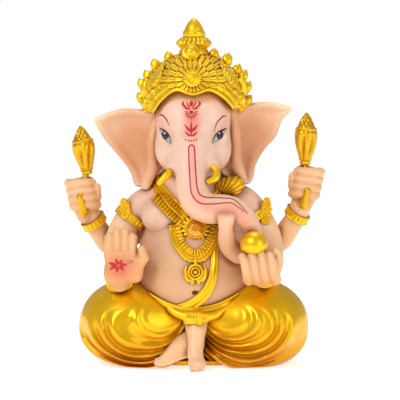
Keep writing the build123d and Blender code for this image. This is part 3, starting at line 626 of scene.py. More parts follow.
# The crown's front edge seen from the front, and the middle of its fan of petals, as (x, z).
RIM = [
    (-30, 107.6), (-17.4, 107.8), (-13.4, 113.4), (-7.4, 117.4), (-0.4, 115.7),
    (6.6, 117.4), (12.8, 114), (17, 109.4), (30, 109.2),
]
FAN = (-0.6, 121.6)


def rim_height(x):
    """Height of the crown's front edge."""
    line = curve(RIM, 8)
    return np.interp(x, line[:, 0], line[:, 1])


def fan_relief(p):
    """Three rows of raised petals round the front rosette, each grooved along its middle."""
    x, z = p[:, 0] - FAN[0], p[:, 2] - FAN[1]
    r = np.hypot(x, z)
    angle = np.arctan2(x, z)
    out = np.zeros(len(p))
    for start, end, count, level in ((3.6, 7.4, 9, 1.5), (7.0, 10.9, 11, 1.05), (10.5, 14.6, 13, 0.6)):
        u = angle / math.pi * count
        u = (u - np.floor(u) - 0.5) * 2
        v = unit((r - start) / (end - start))
        ring = (r >= start) & (r <= end)
        tip = np.sqrt(unit(1 - unit((v - 0.62) / 0.38) ** 2))
        body = unit(1 - (u / np.maximum(tip, 0.05) / 0.92) ** 2) ** 0.5
        petal = level - 0.5 + 0.95 * body - 0.35 * bump(u / 0.3) * (v > 0.15) * (v < 0.8)
        out = np.where(ring, np.maximum(out, petal * (tip > 0.05)), out)
    front = unit((-p[:, 1] - 2) / 3)
    return out * front


def flower(p, x0, z0, radius):
    """A small raised flower of six petals seen from the front."""
    x, z = p[:, 0] - x0, p[:, 2] - z0
    r = np.hypot(x, z) / radius
    angle = np.arctan2(x, z)
    petal = 0.75 + 0.25 * np.cos(6 * angle)
    return np.maximum(0.75 * bump(r / np.maximum(petal, 0.2)), bump(r / 0.36))


def lens(p, a, b, wide):
    """A raised, faintly veined leaf between two points seen from the front."""
    across, along, span = ribbon(p, [a, ((a[0] + b[0]) / 2, (a[1] + b[1]) / 2), b])
    t = unit(along / span)
    half = wide / 2 * np.sqrt(unit(4 * t * (1 - t))) + 0.01
    veins = 0.88 + 0.12 * np.cos((along - 1.2 * np.abs(across)) * 3.4)
    return bump(across / half) ** 0.6 * veins * (t > 0) * (t < 1)


CROWN_FLOWERS = [
    (-14.4, 118.6, 2.1), (13.9, 119.4, 2.1), (-17.2, 112.6, 1.8),
    (17.2, 113.2, 1.8), (-11.4, 122.8, 1.5), (10.8, 123.2, 1.5),
]


def crown_field(p):
    """The dome with a lattice all over, rings behind, leaves and flowers beside the fan."""
    x, y, z = p[:, 0], p[:, 1], p[:, 2]
    azimuth = np.arctan2(x, -y)
    front = unit((-y - 1) / 3)
    lattice = 0.75 * np.cos(azimuth * 20) * np.cos((z - 112) * 1.45)
    lattice = lattice + 0.4 * np.cos(azimuth * 40 + 1) * np.cos((z - 110) * 2.9)
    rings = 0.35 * bump((z - 122.8) / 0.9) + 0.35 * bump((z - 114.8) / 0.9) + 0.4 * bump((z - 104) / 1.3)
    relief = np.maximum(lattice, 0) + np.where(y > -1, rings, 0) + 0.15
    smooth = np.zeros(len(p))
    for a, b in (((-19.9, 116.5), (-11.4, 128.4)), ((18.9, 117.5), (10.2, 128.8))):
        smooth = np.maximum(smooth, 1.5 * lens(p, a, b, 4.2) * front)
    for x0, z0, r in CROWN_FLOWERS:
        smooth = np.maximum(smooth, 1.7 * flower(p, x0, z0, r) * front)
    r_fan = np.hypot(x - FAN[0], z - FAN[1])
    relief = np.where((r_fan < 14.2) & (y < -2), -0.4, relief)
    relief = np.maximum(relief, smooth * (r_fan > 13))
    f = dome_field(p) - relief
    for side, height in ((-1, 117.2), (1, 118.4)):
        f = blend(f, egg(p, (side * 20.9, -5.5, height), (1.9, 2.6, 4.4), turned(y=-side * 8)), 0.5)
        f = blend(f, egg(p, (side * 20.6, -7.5, height - 6.2), (1.7, 2.2, 2.6)), 0.5)
    opening = np.maximum(z - rim_height(x), y - 6)
    f = carve(f, opening, 0.4)
    return within(f, 101 - z, 0.8)


def fan_field(p):
    """The sheet of petals that lies on the crown's front."""
    shell = dome_field(p)
    flat = np.hypot(p[:, 0] - FAN[0], p[:, 2] - FAN[1])
    f = np.maximum(shell - fan_relief(p), -1.6 - shell)
    edge = np.maximum(flat - 14.6, rim_height(p[:, 0]) + 0.6 - p[:, 2])
    return np.maximum(f, np.maximum(edge, p[:, 1] + 2))


def rim_field(p):
    """Two rolls along the crown's front edge with a flat band between them."""
    line = curve(RIM[1:-1], 8)
    low = np.interp(p[:, 0], line[:, 0], line[:, 1])
    slope_x = np.interp(p[:, 0], line[:-1, 0], np.diff(line[:, 1]) / np.diff(line[:, 0]))
    height = (p[:, 2] - low) / np.sqrt(1 + slope_x**2)
    shell = np.abs(dome_field(p, 0.2))
    f = np.hypot(shell * 0.9, height - 0.2) - 0.95
    f = np.minimum(f, np.hypot(shell * 0.9, height - 2.5) - 0.75)
    f = blend(f, np.maximum(shell - 0.5, np.abs(height - 1.3) - 1.4), 0.3)
    ends = np.maximum(-17.6 - p[:, 0], p[:, 0] - 17.2)
    return within(np.maximum(f, p[:, 1] + 5), ends, 0.4)


def rosette_field(p):
    """A round boss with a scalloped edge, a ring and a bead, in the middle of the fan."""
    q, r, angle = about(p, (FAN[0], -20.2, FAN[1]), (FAN[0], -25, FAN[1] + 0.9))
    f = egg(q, (0, 0, 0.4), (4.1, 4.1, 2.5))
    f = f + 0.22 * np.cos(angle * 16) * unit((r - 2.9) / 0.7)
    f = blend(f, np.hypot(r - 2.1, q[:, 2] - 2.4) - 0.42, 0.2)
    return blend(f, ball(q, (0, 0, 2.6), 1.05), 0.2)


def jewel_field(p):
    """A ringed round stone that leans forward at the top of the crown."""
    q, r, _ = about(p, (-1.3, -9.0, 132.2), (-1.3, -13.5, 134.4))
    f = egg(q, (0, 0, 1.2), (1.9, 1.9, 2.0))
    f = np.minimum(f, np.hypot(r - 3.1, q[:, 2] - 1.3) - 0.75)
    return blend(f, stick(q, (0, 0, -3), (0, 0, 1), 3.1, 2.9), 0.5)


# Leaves round the crown, each (x, z, lean, size).
LEAVES = [
    (-10.9, 132.6, 0.25, 1.0), (-16.8, 129.4, 0.5, 1.05), (-20.3, 124.8, 0.8, 1.0), (-22.8, 121.2, 0.9, 1.0),
    (-23.6, 115.6, 1.0, 0.8), (8.6, 134.0, -0.1, 1.0), (14.4, 131.6, -0.35, 1.15), (18.9, 127.4, -0.6, 1.0),
    (21.7, 124.9, -0.8, 1.0), (23.4, 120.0, -0.9, 1.0), (24.0, 114.6, -1.0, 0.8),
]


def leaves_field(p):
    """Fat pointed leaves with hollow faces that stand round the crown, and beads between them."""
    f = np.full(len(p), 1e3)
    for x, z, lean, size in LEAVES:
        turn = turned(y=-lean * 38)
        centre = np.array([x + lean * 0.9, -1.5, z - 2.4])
        out = np.array([-lean * 0.55, 0, 0.83])
        leaf = egg(p, centre, (2.1 * size, 1.6, 2.6 * size), turn)
        leaf = blend(leaf, stick(p, centre, centre + out * 3.1 * size, 1.3 * size, 0.35), 0.8)
        leaf = carve(leaf, egg(p, centre + (0, -1.6, 0.2), (1.1 * size, 1.0, 1.9 * size), turn), 0.3)
        stem = stick(p, centre, centre + (lean * 3.2, 1.2, -3.6), 1.9, 2.0)
        f = np.minimum(f, blend(leaf, stem, 0.7))
    for k in range(13):
        a = math.radians(-84 + 14 * k)
        bead = np.array([21.6 * math.sin(a), -1.2, 112.4 + 20.2 * math.cos(a)])
        f = np.minimum(f, ball(p, bead, 1.35))
    return f


def lotus_field(p):
    """The fluted ring of petals under the finial."""
    angle = np.arctan2(p[:, 0], p[:, 1])
    profile = [
        (6.2, 130.4), (6.4, 131.6), (6.2, 133.2), (5.7, 133.9), (6.5, 135),
        (7.5, 136.2), (6.9, 137.4), (5.4, 138.8), (4.2, 139.3),
    ]
    f = lathe(p, profile)
    band = bump((p[:, 2] - 137.2) / 3.0)
    return (f - 0.75 * band * (np.abs(np.cos(angle * 10)) ** 0.7 - 0.6)) * 0.9


def bud_field(p):
    profile = [
        (4.2, 138.6), (4.6, 139.3), (4.75, 140.3), (4.7, 141.2), (4.2, 141.8), (3.85, 142.1),
        (3.75, 142.9), (2.95, 144.4), (1.9, 145.8), (0.95, 146.7), (0.3, 147.1),
    ]
    return lathe(p, profile) - 0.1


def mace_field(foot, tip, pommel, wide):
    """A bud-headed mace: petalled head with a scaly point, a shank through the fist and a tail."""
    tall = math.dist(foot, tip)
    profile = [
        (2.3, -0.06), (2.5, 0.04), (3.4, 0.2), (wide - 0.4, 0.42), (wide, 0.58),
        (wide - 0.5, 0.68), (2.9, 0.78), (2.2, 0.86), (1.1, 0.95), (0.35, 1.0),
    ]
    tail_end = np.asarray(pommel) + (math.copysign(1.6, -pommel[0]), 0.6, -6.2)

    def field(p):
        q, _, angle = about(p, foot, tip)
        t = q[:, 2] / tall
        f = lathe(q, [(r, h * tall) for r, h in profile])
        petals = bump((t - 0.34) / 0.34) * (np.abs(np.cos(angle * 3 + t * 1.4)) - 0.55) * 1.3
        stagger = np.pi * np.floor(t * 16) / 2
        scales = bump((t - 0.82) / 0.16) * (np.abs(np.cos(angle * 4 + stagger)) - 0.5) * 0.6
        ring = 0.45 * bump((t - 0.67) / 0.03) + 0.3 * bump((t - 0.05) / 0.04)
        f = f - petals - scales - ring
        shank = stick(p, foot, pommel, 1.3, 1.3)
        tail = stick(p, pommel, tail_end, 1.5, 1.95)
        return np.minimum(f * 0.85, np.minimum(shank, tail))

    return field


# Middle lines of the collar's right and left strap seen from the front, as (x, z).
COLLAR_STRAPS = {
    -1: [(-18.8, 80.6), (-17.8, 76.4), (-11.4, 69.6), (-3.4, 61.6)],
    1: [(20.5, 82.5), (18.2, 78.4), (12.2, 71.8), (4.6, 62.4)],
}


def collar_field(p):
    """Two straps that meet at the brooch, frilled below and beaded above, and a pleated bow."""
    skin = skin_front(p)
    f = np.full(len(p), 1e3)
    for side, points in COLLAR_STRAPS.items():
        across, along, span = ribbon(p, points)
        across = across * side
        tall = 1.3 + 0.75 * bump((across - 0.1) / 0.7) + 0.4 * bump((across - 3.2) / 0.6)
        pleats = (across < -0.6) * 0.75 * (wave(along / 1.45) - 0.5)
        beads = 0.8 * wave(along / 1.5) * bump((across - 1.8) / 0.95)
        strap = np.maximum(np.abs(across) - 3.7, skin - tall - pleats - beads)
        f = np.minimum(f, np.maximum(strap, beyond_ends(along, span)))
    bow = egg(p, (15.4, -8.6, 75.8), (6.2, 4.4, 4.0), turned(y=-10))
    spread = np.degrees(np.arctan2(p[:, 2] - 71.0, p[:, 0] - 11.0))
    bow = bow - 0.75 * (wave(spread / 13) - 0.5)
    return np.maximum(np.minimum(f, bow), p[:, 1] - 2) * 0.85


def brooch_field(p):
    """A round pleated setting with a ring for the stone."""
    q, r, angle = about(p, (0.7, -20.5, 58.6), (0.7, -25, 59.6))
    f = within(r - 5.8 - 0.35 * np.cos(angle * 18), np.abs(q[:, 2]) - 3.0 + 0.22 * r, 0.8)
    f = f - 0.4 * (np.abs(np.cos(angle * 9)) - 0.5) * (r > 3.9)
    return np.minimum(f, np.hypot(r - 3.9, q[:, 2] - 2.6) - 0.55)


def gem_field(p):
    """An eight-sided cut stone."""
    q, r, angle = about(p, (0.7, -22.6, 59.0), (0.7, -27, 60.0))
    sector = (angle / (math.pi / 4)) % 1 - 0.5
    flat = r * np.cos(sector * math.pi / 4)
    f = np.maximum(flat - 3.5, np.maximum(-q[:, 2] - 1, q[:, 2] * 0.8 + flat * 0.55 - 2.9))
    return np.maximum(f, q[:, 2] - 2.5)


def festoon_field(p):
    """The hanging loop below the brooch: two beaded cords with a frill outside them."""
    skin = skin_front(p)
    line = [(-8.0, 60.5), (-6.6, 53.8), (-2.9, 49.2), (0.8, 48.0), (4.5, 49.4), (8.1, 54.2), (9.6, 60)]
    across, along, span = ribbon(p, line)
    cords = 0.55 * bump((across - 1.9) / 0.6) + 0.6 * wave(along / 1.3) * bump((across - 0.6) / 0.8)
    pleats = (across < -0.3) * 0.7 * (wave(along / 1.5) - 0.4)
    edge = np.abs(across) - 2.5 - 0.3 * wave(along / 1.5)
    f = np.maximum(edge, skin - 1.1 - cords - pleats)
    return np.maximum(np.maximum(f, beyond_ends(along, span)), p[:, 1] + 4) * 0.85


def pendant_field(p):
    """A ringed rosette with a fleur at each side and a frill below, laid on the belly."""
    x, z = (p[:, 0] - 0.7) * 1.15, (p[:, 2] - 41.6) * 1.15
    depth = skin_front(p) - 0.2
    r = np.hypot(x, z)
    f = np.hypot(r - 3.3, depth - 0.9) - 0.7
    f = np.minimum(f, np.hypot(r - 1.9, depth - 1.2) - 0.5)
    f = np.minimum(f, np.hypot(r, depth - 1.2) - 1.1)
    f = blend(f, np.maximum(r - 3.6, np.abs(depth) - 0.9), 0.2)
    flat = np.stack([x, depth, z], axis=1)
    for side in (-1, 1):
        fleur = [(side * u, 0.7, v) for u, v in ((1.2, -4.4), (3.9, -3.3), (4.9, 0.4), (4.1, 2.8))]
        f = np.minimum(f, tube(flat, fleur, [0.95, 1.05, 0.9, 0.5], 4))
        f = np.minimum(f, stick(flat, (side * 1.4, 0.6, -4.2), (side * 1.6, 0.6, -5.6), 0.8, 0.7))
    f = np.minimum(f, stick(flat, (0, 0.6, 3.4), (0, 0.6, 5.6), 0.9, 1.2))
    return np.maximum(f, p[:, 1] + 8) * 0.85


def sash_field(p):
    """The folded sash that falls from the collar across the belly to the waistband."""
    skin = skin_front(p)
    line = [(9.0, 58.5), (8.9, 50), (8.5, 42.4), (7.1, 36.4), (3.8, 31), (-1.6, 27), (-8.4, 24.4)]
    across, along, span = ribbon(p, line)
    t = unit(along / span)
    half = 1.55 + 0.85 * bump((t - 0.78) / 0.5)
    folds = 0.3 * np.cos(across / half * 5.2) * bump(across / half / 1.1)
    f = within(np.abs(across) - half, skin - 0.85 - folds, 0.5)
    return np.maximum(np.maximum(f, beyond_ends(along, span)), p[:, 1] + 2) * 0.9


def cuff_field(base, place, direction, half, lift, ribs):
    """A bracelet or armlet that hugs a limb: base is the limb's own field."""

    def field(p):
        q, _, angle = about(p, place, np.add(place, direction))
        side = q[:, 2]
        middle = bump(side / (half * 0.8))
        pattern = 0.55 * (np.abs(np.cos(angle * ribs / 2)) ** 0.7 - 0.55) * middle
        lips = 0.38 * (bump((side - half * 0.86) / 0.5) + bump((side + half * 0.86) / 0.5))
        f = within(base(p) - lift - pattern - lips, np.abs(side) - half, 0.35)
        return np.maximum(f, length(q) - 9.5)

    return field


CREST_WIDTH = 4.6


def crest_field(foot, tip):
    """A knobbly leaf that stands up from an armlet against the arm."""
    span = math.dist(foot, tip)
    axis = np.subtract(tip, foot) / span
    out = np.array([math.copysign(0.35, foot[0]), -0.94, 0.0])
    out = out - axis * (out @ axis)
    out /= length(out)
    turn = np.stack([np.cross(axis, out), out, axis], axis=1)

    def field(p):
        q = (p - np.asarray(foot, float)) @ turn
        t = unit(q[:, 2] / span)
        half = CREST_WIDTH / 2 * np.sqrt(unit(1.15 * (1 - t) * (t + 0.25))) * 1.5 + 0.05
        knobs = 0.3 * np.cos(q[:, 2] * 3.4) * np.cos(q[:, 0] * 3.4)
        f = within(np.abs(q[:, 0]) - half, np.abs(q[:, 1]) - 1.0 - knobs, 0.6)
        return np.maximum(f, np.maximum(-q[:, 2] - 1, q[:, 2] - span))

    return field


# ------------------------------------------------------------------ trousers
def fold_level(x, z, knot, centre, radii):
    """Nested outlines that all touch the knot: 1 on the leg's outline, 0 at the knot."""
    dx, dz = x - knot[0], z - knot[1]
    far = np.maximum(np.hypot(dx, dz), 1e-3)
    ux, uz = dx / far / radii[0], dz / far / radii[1]
    kx, kz = (knot[0] - centre[0]) / radii[0], (knot[1] - centre[1]) / radii[1]
    kd, dd = kx * ux + kz * uz, ux * ux + uz * uz
    reach = (-kd + np.sqrt(np.maximum(kd * kd - dd * (kx * kx + kz * kz - 1), 1e-6))) / dd
    return far / reach


def leg_field(side):
    """A puffed trouser leg: smooth above, with folds that fan out from the knot below."""
    knot = (side * 7.0, 25.5)

    def field(p):
        x, y, z = p[:, 0], p[:, 1], p[:, 2]
        f = egg(p, (side * 27.5, -10, 17), (21.5, 23.5, 19.0))
        f = blend(f, egg(p, (side * 15, -5.5, 19.5), (20, 20.5, 13.5)), 6)
        f = blend(f, egg(p, (side * 19, -9, 6.5), (16.5, 20, 7.5)), 5)
        f = blend(f, egg(p, (side * 17.5 + 1.5, -12, 9), (11, 18, 11)), 4)
        level = fold_level(x, z, knot, (side * 27, 17.0), (26.5, 19.5))
        far = np.hypot(x - knot[0], z - knot[1])
        drop = np.degrees(np.arctan2(knot[1] - z, side * (x - knot[0])))
        low = unit((drop + 14 - 0.5 * far) / 14) * unit((150 - drop) / 20)
        span = unit((level - 0.22) / 0.2) * unit((1.12 - level) / 0.08)
        front = unit((8 - y) / 10)
        drift = 0.3 * np.sin(level * 9 + side) + 0.1 * np.sin(far * 0.4)
        ridge = 0.5 * np.cos(2 * np.pi * (level * 7.5 + drift))
        f = f - ridge * 1.9 * np.clip(far / 22, 0.3, 1) * low * span * front
        return within(within(f, -side * x + 0.3 - 0.02 * z, 1.5), -z, 0.8) * 0.88

    return field


def seat_field(p):
    """The gathered cloth behind the legs, hollowed for the body."""
    angle = np.arctan2(p[:, 0], p[:, 1])
    f = egg(p, (0, 10, 15.5), (33, 19, 17.5))
    back = unit((p[:, 1] - 8) / 8) * bump((p[:, 2] - 13) / 16)
    f = f - 0.35 * np.cos(angle * 22 + 0.08 * p[:, 2]) * back
    f = carve(f, egg(p, (0, -12, 24), (24, 12, 14)), 1)
    return within(f, -p[:, 2], 0.8)


def waist_field(p):
    """A twisted band round the body that dips in front."""
    skin = skin_front(p)
    sag = 23.8 + 0.0165 * p[:, 0] ** 2 + np.clip(p[:, 1] + 16, 0, 40) * 0.10
    height = p[:, 2] - np.minimum(sag, 29.5)
    twist = 0.28 * np.cos((height * 1.7 + np.arctan2(p[:, 0], -p[:, 1]) * 5))
    f = within(np.abs(height) - 2.6, skin - 1.3 - twist - 0.5 * bump(height / 1.2), 0.7)
    return f * 0.9


def knot_field(p):
    """The flat tied block in front of the waistband, with a tail each way."""
    f = block(p, (1.0, -28.0, 21.8), (5.4, 2.4, 2.5), 1.6)
    f = f - 0.22 * np.cos((p[:, 2] + 0.12 * p[:, 0]) * 2.6)
    f = blend(f, block(p, (2.4, -29.4, 21.8), (1.3, 1.7, 2.8), 1.0), 0.5)
    left_tail = [(5.4, -28.6, 22.2), (9.5, -27.4, 23.2), (14, -25.2, 26.2)]
    right_tail = [(-3.4, -28.6, 22.4), (-8.0, -27.2, 24.2), (-13, -24.8, 27.4)]
    for tail in (left_tail, right_tail):
        f = blend(f, tube(p, tail, [1.9, 1.6, 0.9], 4), 0.5)
    return f


# ------------------------------------------------------------------ feet
def hanging_foot_field(p):
    """The left shin and foot, which come straight down in front."""
    shin = [
        (1, -22, 22), (0.9, -26.6, 15.5), (0.7, -29.4, 10.5),
        (0.6, -31.2, 7.2), (1.2, -33.6, 4.6), (1.6, -36.0, 3.0),
    ]
    f = tube(p, shin, [5.4, 4.8, 3.9, 3.4, 3.3, 2.3], 4)
    f = blend(f, egg(p, (1.4, -33.2, 3.4), (3.7, 4.6, 2.9)), 1.0)
    for x, y, thick in ((-0.6, -37.2, 1.25), (1.0, -37.9, 1.05), (2.4, -37.5, 1.0), (3.6, -36.7, 0.9)):
        f = blend(f, stick(p, (x * 0.8 + 0.4, -34.8, 2.8), (x, y, 1.7), thick + 0.1, thick), 0.4)
    return within(f, 0.3 - p[:, 2], 0.3)


def folded_foot_field(p):
    """The right foot, folded in front of the leg with its toes outwards."""
    shin = [(-1, -23, 10.5), (-6.2, -27, 8.4), (-11, -29.4, 5.2), (-14.0, -30.6, 3.4)]
    f = tube(p, shin, [5.6, 4.9, 3.6, 2.3], 4)
    for x, z in ((-15.6, 4.6), (-16.0, 3.3), (-15.4, 2.1)):
        f = blend(f, stick(p, (-12.5, -30.2, z), (x, -31, z), 1.2, 0.8), 0.4)
    return within(f, 0.3 - p[:, 2], 0.3)


def base_field(p):
    """A thin foot plate with round ends."""
    rim = np.abs(p[:, :2]) - (16.5, 1.0)
    flat = length(np.maximum(rim, 0)) + np.minimum(rim.max(axis=1), 0) - 17.0
    return within(np.abs(p[:, 2] - 1.0) - 1.0, flat, 0.4)


# ------------------------------------------------------------------ materials
def rgb(red, green, blue):
    """An sRGB colour, 0 to 255, as Blender's linear colour."""
    values = [c / 255 for c in (red, green, blue)]
    linear = [v / 12.92 if v <= 0.04045 else ((v + 0.055) / 1.055) ** 2.4 for v in values]
    return (*linear, 1.0)


def mixed(nodes, links, factor, first, second):
    """A colour mix; each input is a colour or another node's output."""
    node = nodes.new("ShaderNodeMix")
    node.data_type = "RGBA"
    for key, value in (("Factor", factor), (6, first), (7, second)):
        socket = node.inputs[key]
        if isinstance(value, tuple):
            socket.default_value = value
        else:
            links.new(value, socket)
    return node.outputs[2]


def ranged(nodes, links, value, low, high, start, end):
    """Another node's output, from low to high, taken to start to end."""
    node = nodes.new("ShaderNodeMapRange")
    links.new(value, node.inputs["Value"])
    for key, number in (("From Min", low), ("From Max", high), ("To Min", start), ("To Max", end)):
        node.inputs[key].default_value = number
    return node.outputs["Result"]


def paint(
    name, base, deep, layers=(), roughness=0.45, metallic=0.0,
    reach=3.0, depth=0.8, grain=0.12, soft=0.0, coat=0.0,
):
    """Paint on resin: a base colour, layers of airbrushed tint and painted shade, painted shade in crevices,
    mottling and fine pits.

    reach is how wide, in millimetres, and depth how strongly crevices take the deep colour as painted shade;
    grain is the strength of the mottling, soft that of light under the skin, coat that of the varnish.
    """
    material = bpy.data.materials.new(name)
    material.use_nodes = True
    nodes, links = material.node_tree.nodes, material.node_tree.links
    surface = nodes["Principled BSDF"]
    place = nodes.new("ShaderNodeTexCoord").outputs["Object"]

    def noise(scale, detail):
        node = nodes.new("ShaderNodeTexNoise")
        node.inputs["Scale"].default_value = scale
        node.inputs["Detail"].default_value = detail
        links.new(place, node.inputs["Vector"])
        return node.outputs["Fac"]

    cloud = noise(160, 3)
    mottle = ranged(nodes, links, cloud, 0.35, 0.75, 0.0, grain)
    colour = mixed(nodes, links, mottle, rgb(*base), rgb(*deep))
    for key, shade in layers:
        attribute = nodes.new("ShaderNodeAttribute")
        attribute.attribute_name = key
        colour = mixed(nodes, links, attribute.outputs["Fac"], colour, rgb(*shade))

    # Painted shade: crevices and hollows that ambient occlusion finds take the deep colour.
    shelter = nodes.new("ShaderNodeAmbientOcclusion")
    shelter.samples = 6
    shelter.inputs["Distance"].default_value = reach * MM
    crevice_shade = ranged(nodes, links, shelter.outputs["AO"], 0.45, 0.95, depth, 0.0)
    colour = mixed(nodes, links, crevice_shade, colour, rgb(*deep))
    links.new(colour, surface.inputs["Base Color"])

    relief = nodes.new("ShaderNodeBump")
    relief.inputs["Strength"].default_value = 0.18
    relief.inputs["Distance"].default_value = 0.15 * MM
    links.new(noise(1500, 2), relief.inputs["Height"])
    links.new(relief.outputs["Normal"], surface.inputs["Normal"])
    rough = ranged(nodes, links, cloud, 0.3, 0.7, roughness - 0.05, roughness + 0.07)
    links.new(rough, surface.inputs["Roughness"])
    surface.inputs["Metallic"].default_value = metallic
    surface.inputs["Coat Weight"].default_value = coat
    surface.inputs["Coat Roughness"].default_value = 0.25
    if soft:
        surface.inputs["Subsurface Weight"].default_value = soft
        surface.inputs["Subsurface Radius"].default_value = (1.0, 0.45, 0.25)
        surface.inputs["Subsurface Scale"].default_value = 1.2 * MM
    return material


FACE = paint(
    "face_skin", (233, 194, 172), (172, 104, 66),
    [("warm", (230, 182, 146)), ("shade", (200, 134, 88)), ("blush", (232, 104, 98))],
    soft=0.1,
)
BODY = paint(
    "body_skin", (234, 192, 166), (150, 92, 56),
    [("warm", (212, 164, 120)), ("shade", (184, 128, 82))],
    soft=0.08,
)
ARM = paint("arm_skin", (240, 198, 158), (156, 98, 60), [("warm", (230, 180, 128))], soft=0.08)
HAND = paint(
    "hand_skin", (236, 186, 138), (166, 106, 60),
    [("warm", (220, 162, 106)), ("blush", (216, 76, 66))],
    soft=0.08,
)
EAR = paint(
    "ear_skin", (251, 220, 184), (170, 106, 66),
    [("warm", (222, 158, 112)), ("shade", (206, 140, 94))],
    soft=0.1,
)
GOLD = paint(
    "gold_paint", (250, 202, 20), (160, 88, 0),
    roughness=0.33, metallic=0.62, reach=1.5, depth=0.95, grain=0.25,
)
CROWN_GOLD = paint(
    "crown_gold", (254, 214, 34), (160, 90, 0),
    roughness=0.34, metallic=0.62, reach=1.2, depth=0.75, grain=0.3,
)
# Its warm layer is painted shade, darker orange low on the cloth.
CLOTH_GOLD = paint(
    "cloth_gold", (246, 192, 2), (168, 86, 0), [("warm", (196, 126, 0))],
    roughness=0.3, metallic=0.62, reach=1.6, depth=0.75, grain=0.2,
)
MACE_GOLD = paint(
    "mace_gold", (228, 174, 8), (130, 70, 0),
    roughness=0.3, metallic=0.62, reach=1.8, depth=1.0, grain=0.35,
)
RED = paint("red_marks", (212, 22, 38), (130, 8, 16), roughness=0.5, grain=0.4)
BROWN = paint("dark_marks", (70, 38, 34), (30, 12, 8), roughness=0.45)
STRIPE = paint("stripe_marks", (176, 30, 34), (120, 14, 16), roughness=0.5, grain=0.35)
EYE_WHITE = paint("eye_white", (196, 192, 190), (110, 104, 108), roughness=0.25)
EYE_DARK = paint("eye_dark", (20, 16, 22), (8, 6, 10), roughness=0.3, coat=0.2)
# Painted highlight: the pale dot on each iris.
EYE_GLINT = paint("eye_glint", (240, 244, 250), (220, 220, 230), roughness=0.2)
STONE = paint(
    "amber_stone", (250, 168, 18), (160, 70, 0),
    roughness=0.15, metallic=0.55, grain=0.5, coat=0.6,
)


# ------------------------------------------------------------------ painted marks
FILM_DEPTH = 0.22  # how far the back of a film lies under the surface


def stroke(points, widths, steps=6, across=4):
    """A painted stroke seen from the front: rows of (x, z) along it, columns across it."""
    line = curve(points, steps)
    run = np.gradient(line, axis=0)
    run /= np.maximum(length(run), 1e-9)[:, None]
    half = np.interp(np.linspace(0, 1, len(line)), np.linspace(0, 1, len(widths)), widths) / 2
    side = np.stack([-run[:, 1], run[:, 0]], axis=1) * half[:, None]
    columns = np.linspace(-1, 1, across + 1)
    return line[:, None, :] + side[:, None, :] * columns[None, :, None]


def spot(x, z, radius, tall=1.0, lean=0.0):
    """A filled ellipse as a stroke grid."""
    t = np.linspace(-1, 1, 13)
    c, s = math.cos(math.radians(lean)), math.sin(math.radians(lean))
    half = np.sqrt(unit(1 - t * t)) * radius + 0.015
    u = np.linspace(-1, 1, 7)[None, :] * half[:, None]
    v = np.repeat((t * radius * tall)[:, None], 7, axis=1)
    return np.stack([x + u * c - v * s, z + u * s + v * c], axis=-1)


def draped(field, x, z):
    """The depth at which the surface is first met, going back from well in front of the figure."""
    y = np.full(len(x), -60.0)
    for _ in range(70):
        y = y + np.clip(field(np.stack([x, y, z], axis=1)) * 0.75, -1.5, 6)
    return y


def painted(name, field, grids, material, lift):
    """Thin closed films of paint laid over a surface from the front; lift is how far they stand out."""
    points, faces, base = [], [], 0
    for grid in grids:
        rows, columns = grid.shape[:2]
        x, z = grid[..., 0].ravel(), grid[..., 1].ravel()
        y = draped(field, x, z)
        count = rows * columns
        points += [np.stack([x, y - lift, z], axis=1), np.stack([x, y + FILM_DEPTH, z], axis=1)]
        index = np.arange(count).reshape(rows, columns)
        corners = [index[:-1, :-1], index[1:, :-1], index[1:, 1:], index[:-1, 1:]]
        top = np.stack(corners, axis=-1).reshape(-1, 4)
        rim = np.concatenate([index[0, :-1], index[:-1, -1], index[-1, :0:-1], index[:0:-1, 0]])
        after = np.roll(rim, -1)
        walls = np.stack([rim, after, after + count, rim + count], axis=1)
        faces += [top + base, top[:, ::-1] + count + base, walls + base]
        base += 2 * count
    piece = mesh_object(name, np.concatenate(points), np.concatenate(faces), material)
    form = bmesh.new()
    form.from_mesh(piece.data)
    bmesh.ops.recalc_face_normals(form, faces=form.faces)
    form.to_mesh(piece.data)
    form.free()
    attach(piece, "root")


# ------------------------------------------------------------------ building the pieces
def place(name, field, centre, voxel, material, margin=4.0, node=None, **tints):
    """Sculpts a piece where its CAD node stands; centre is where its field expects that node.

    The node has the piece's own name unless another is given.
    """
    node = node or name
    shift = follow(node, *centre)
    shaded = {key: (lambda p, tone=tone: tone(p - shift)) for key, tone in tints.items()}
    low, high = box(node)
    sculpt(name, lambda p: field(p - shift), low - margin, high + margin, voxel, material, node, **shaded)


def near(p, centre, radius):
    """1 at a place, fading to 0 at this radius."""
    return unit(1 - length((p - np.asarray(centre, float)) * (1, 0.5, 1)) / radius)


def warmth_and_shade_below(top, bottom):
    """A warm tint, partly airbrushed tone and partly painted shade, that grows from nothing at one height to
    full at a lower one.
    """
    return lambda p: unit((top - p[:, 2]) / (top - bottom))


def even(amount):
    """The same amount of a tint all over."""
    return lambda p: np.full(len(p), amount)


def torso_shade(p):
    side = unit((np.abs(p[:, 0]) - 13) / 12)
    return 0.55 * side * unit((64 - p[:, 2]) / 20) + 0.5 * unit((32 - p[:, 2]) / 8)


def head_warm(p):
    along = unit((84 - p[:, 2]) / 22)
    cheek = 0.45 * unit((92 - p[:, 2]) / 10) * unit((np.abs(p[:, 0]) - 7) / 7)
    return np.maximum(along, cheek)


def head_shade(p):
    return 0.35 * unit((62 - p[:, 2]) / 9)


TRUNK_STRIPE = [
    (-1.2, 93.5), (-0.6, 88), (-0.3, 82), (0.4, 75.5), (3.6, 70.4),
    (9.4, 68.5), (15.2, 68.6), (19.2, 66.4), (21.6, 62.6),
]


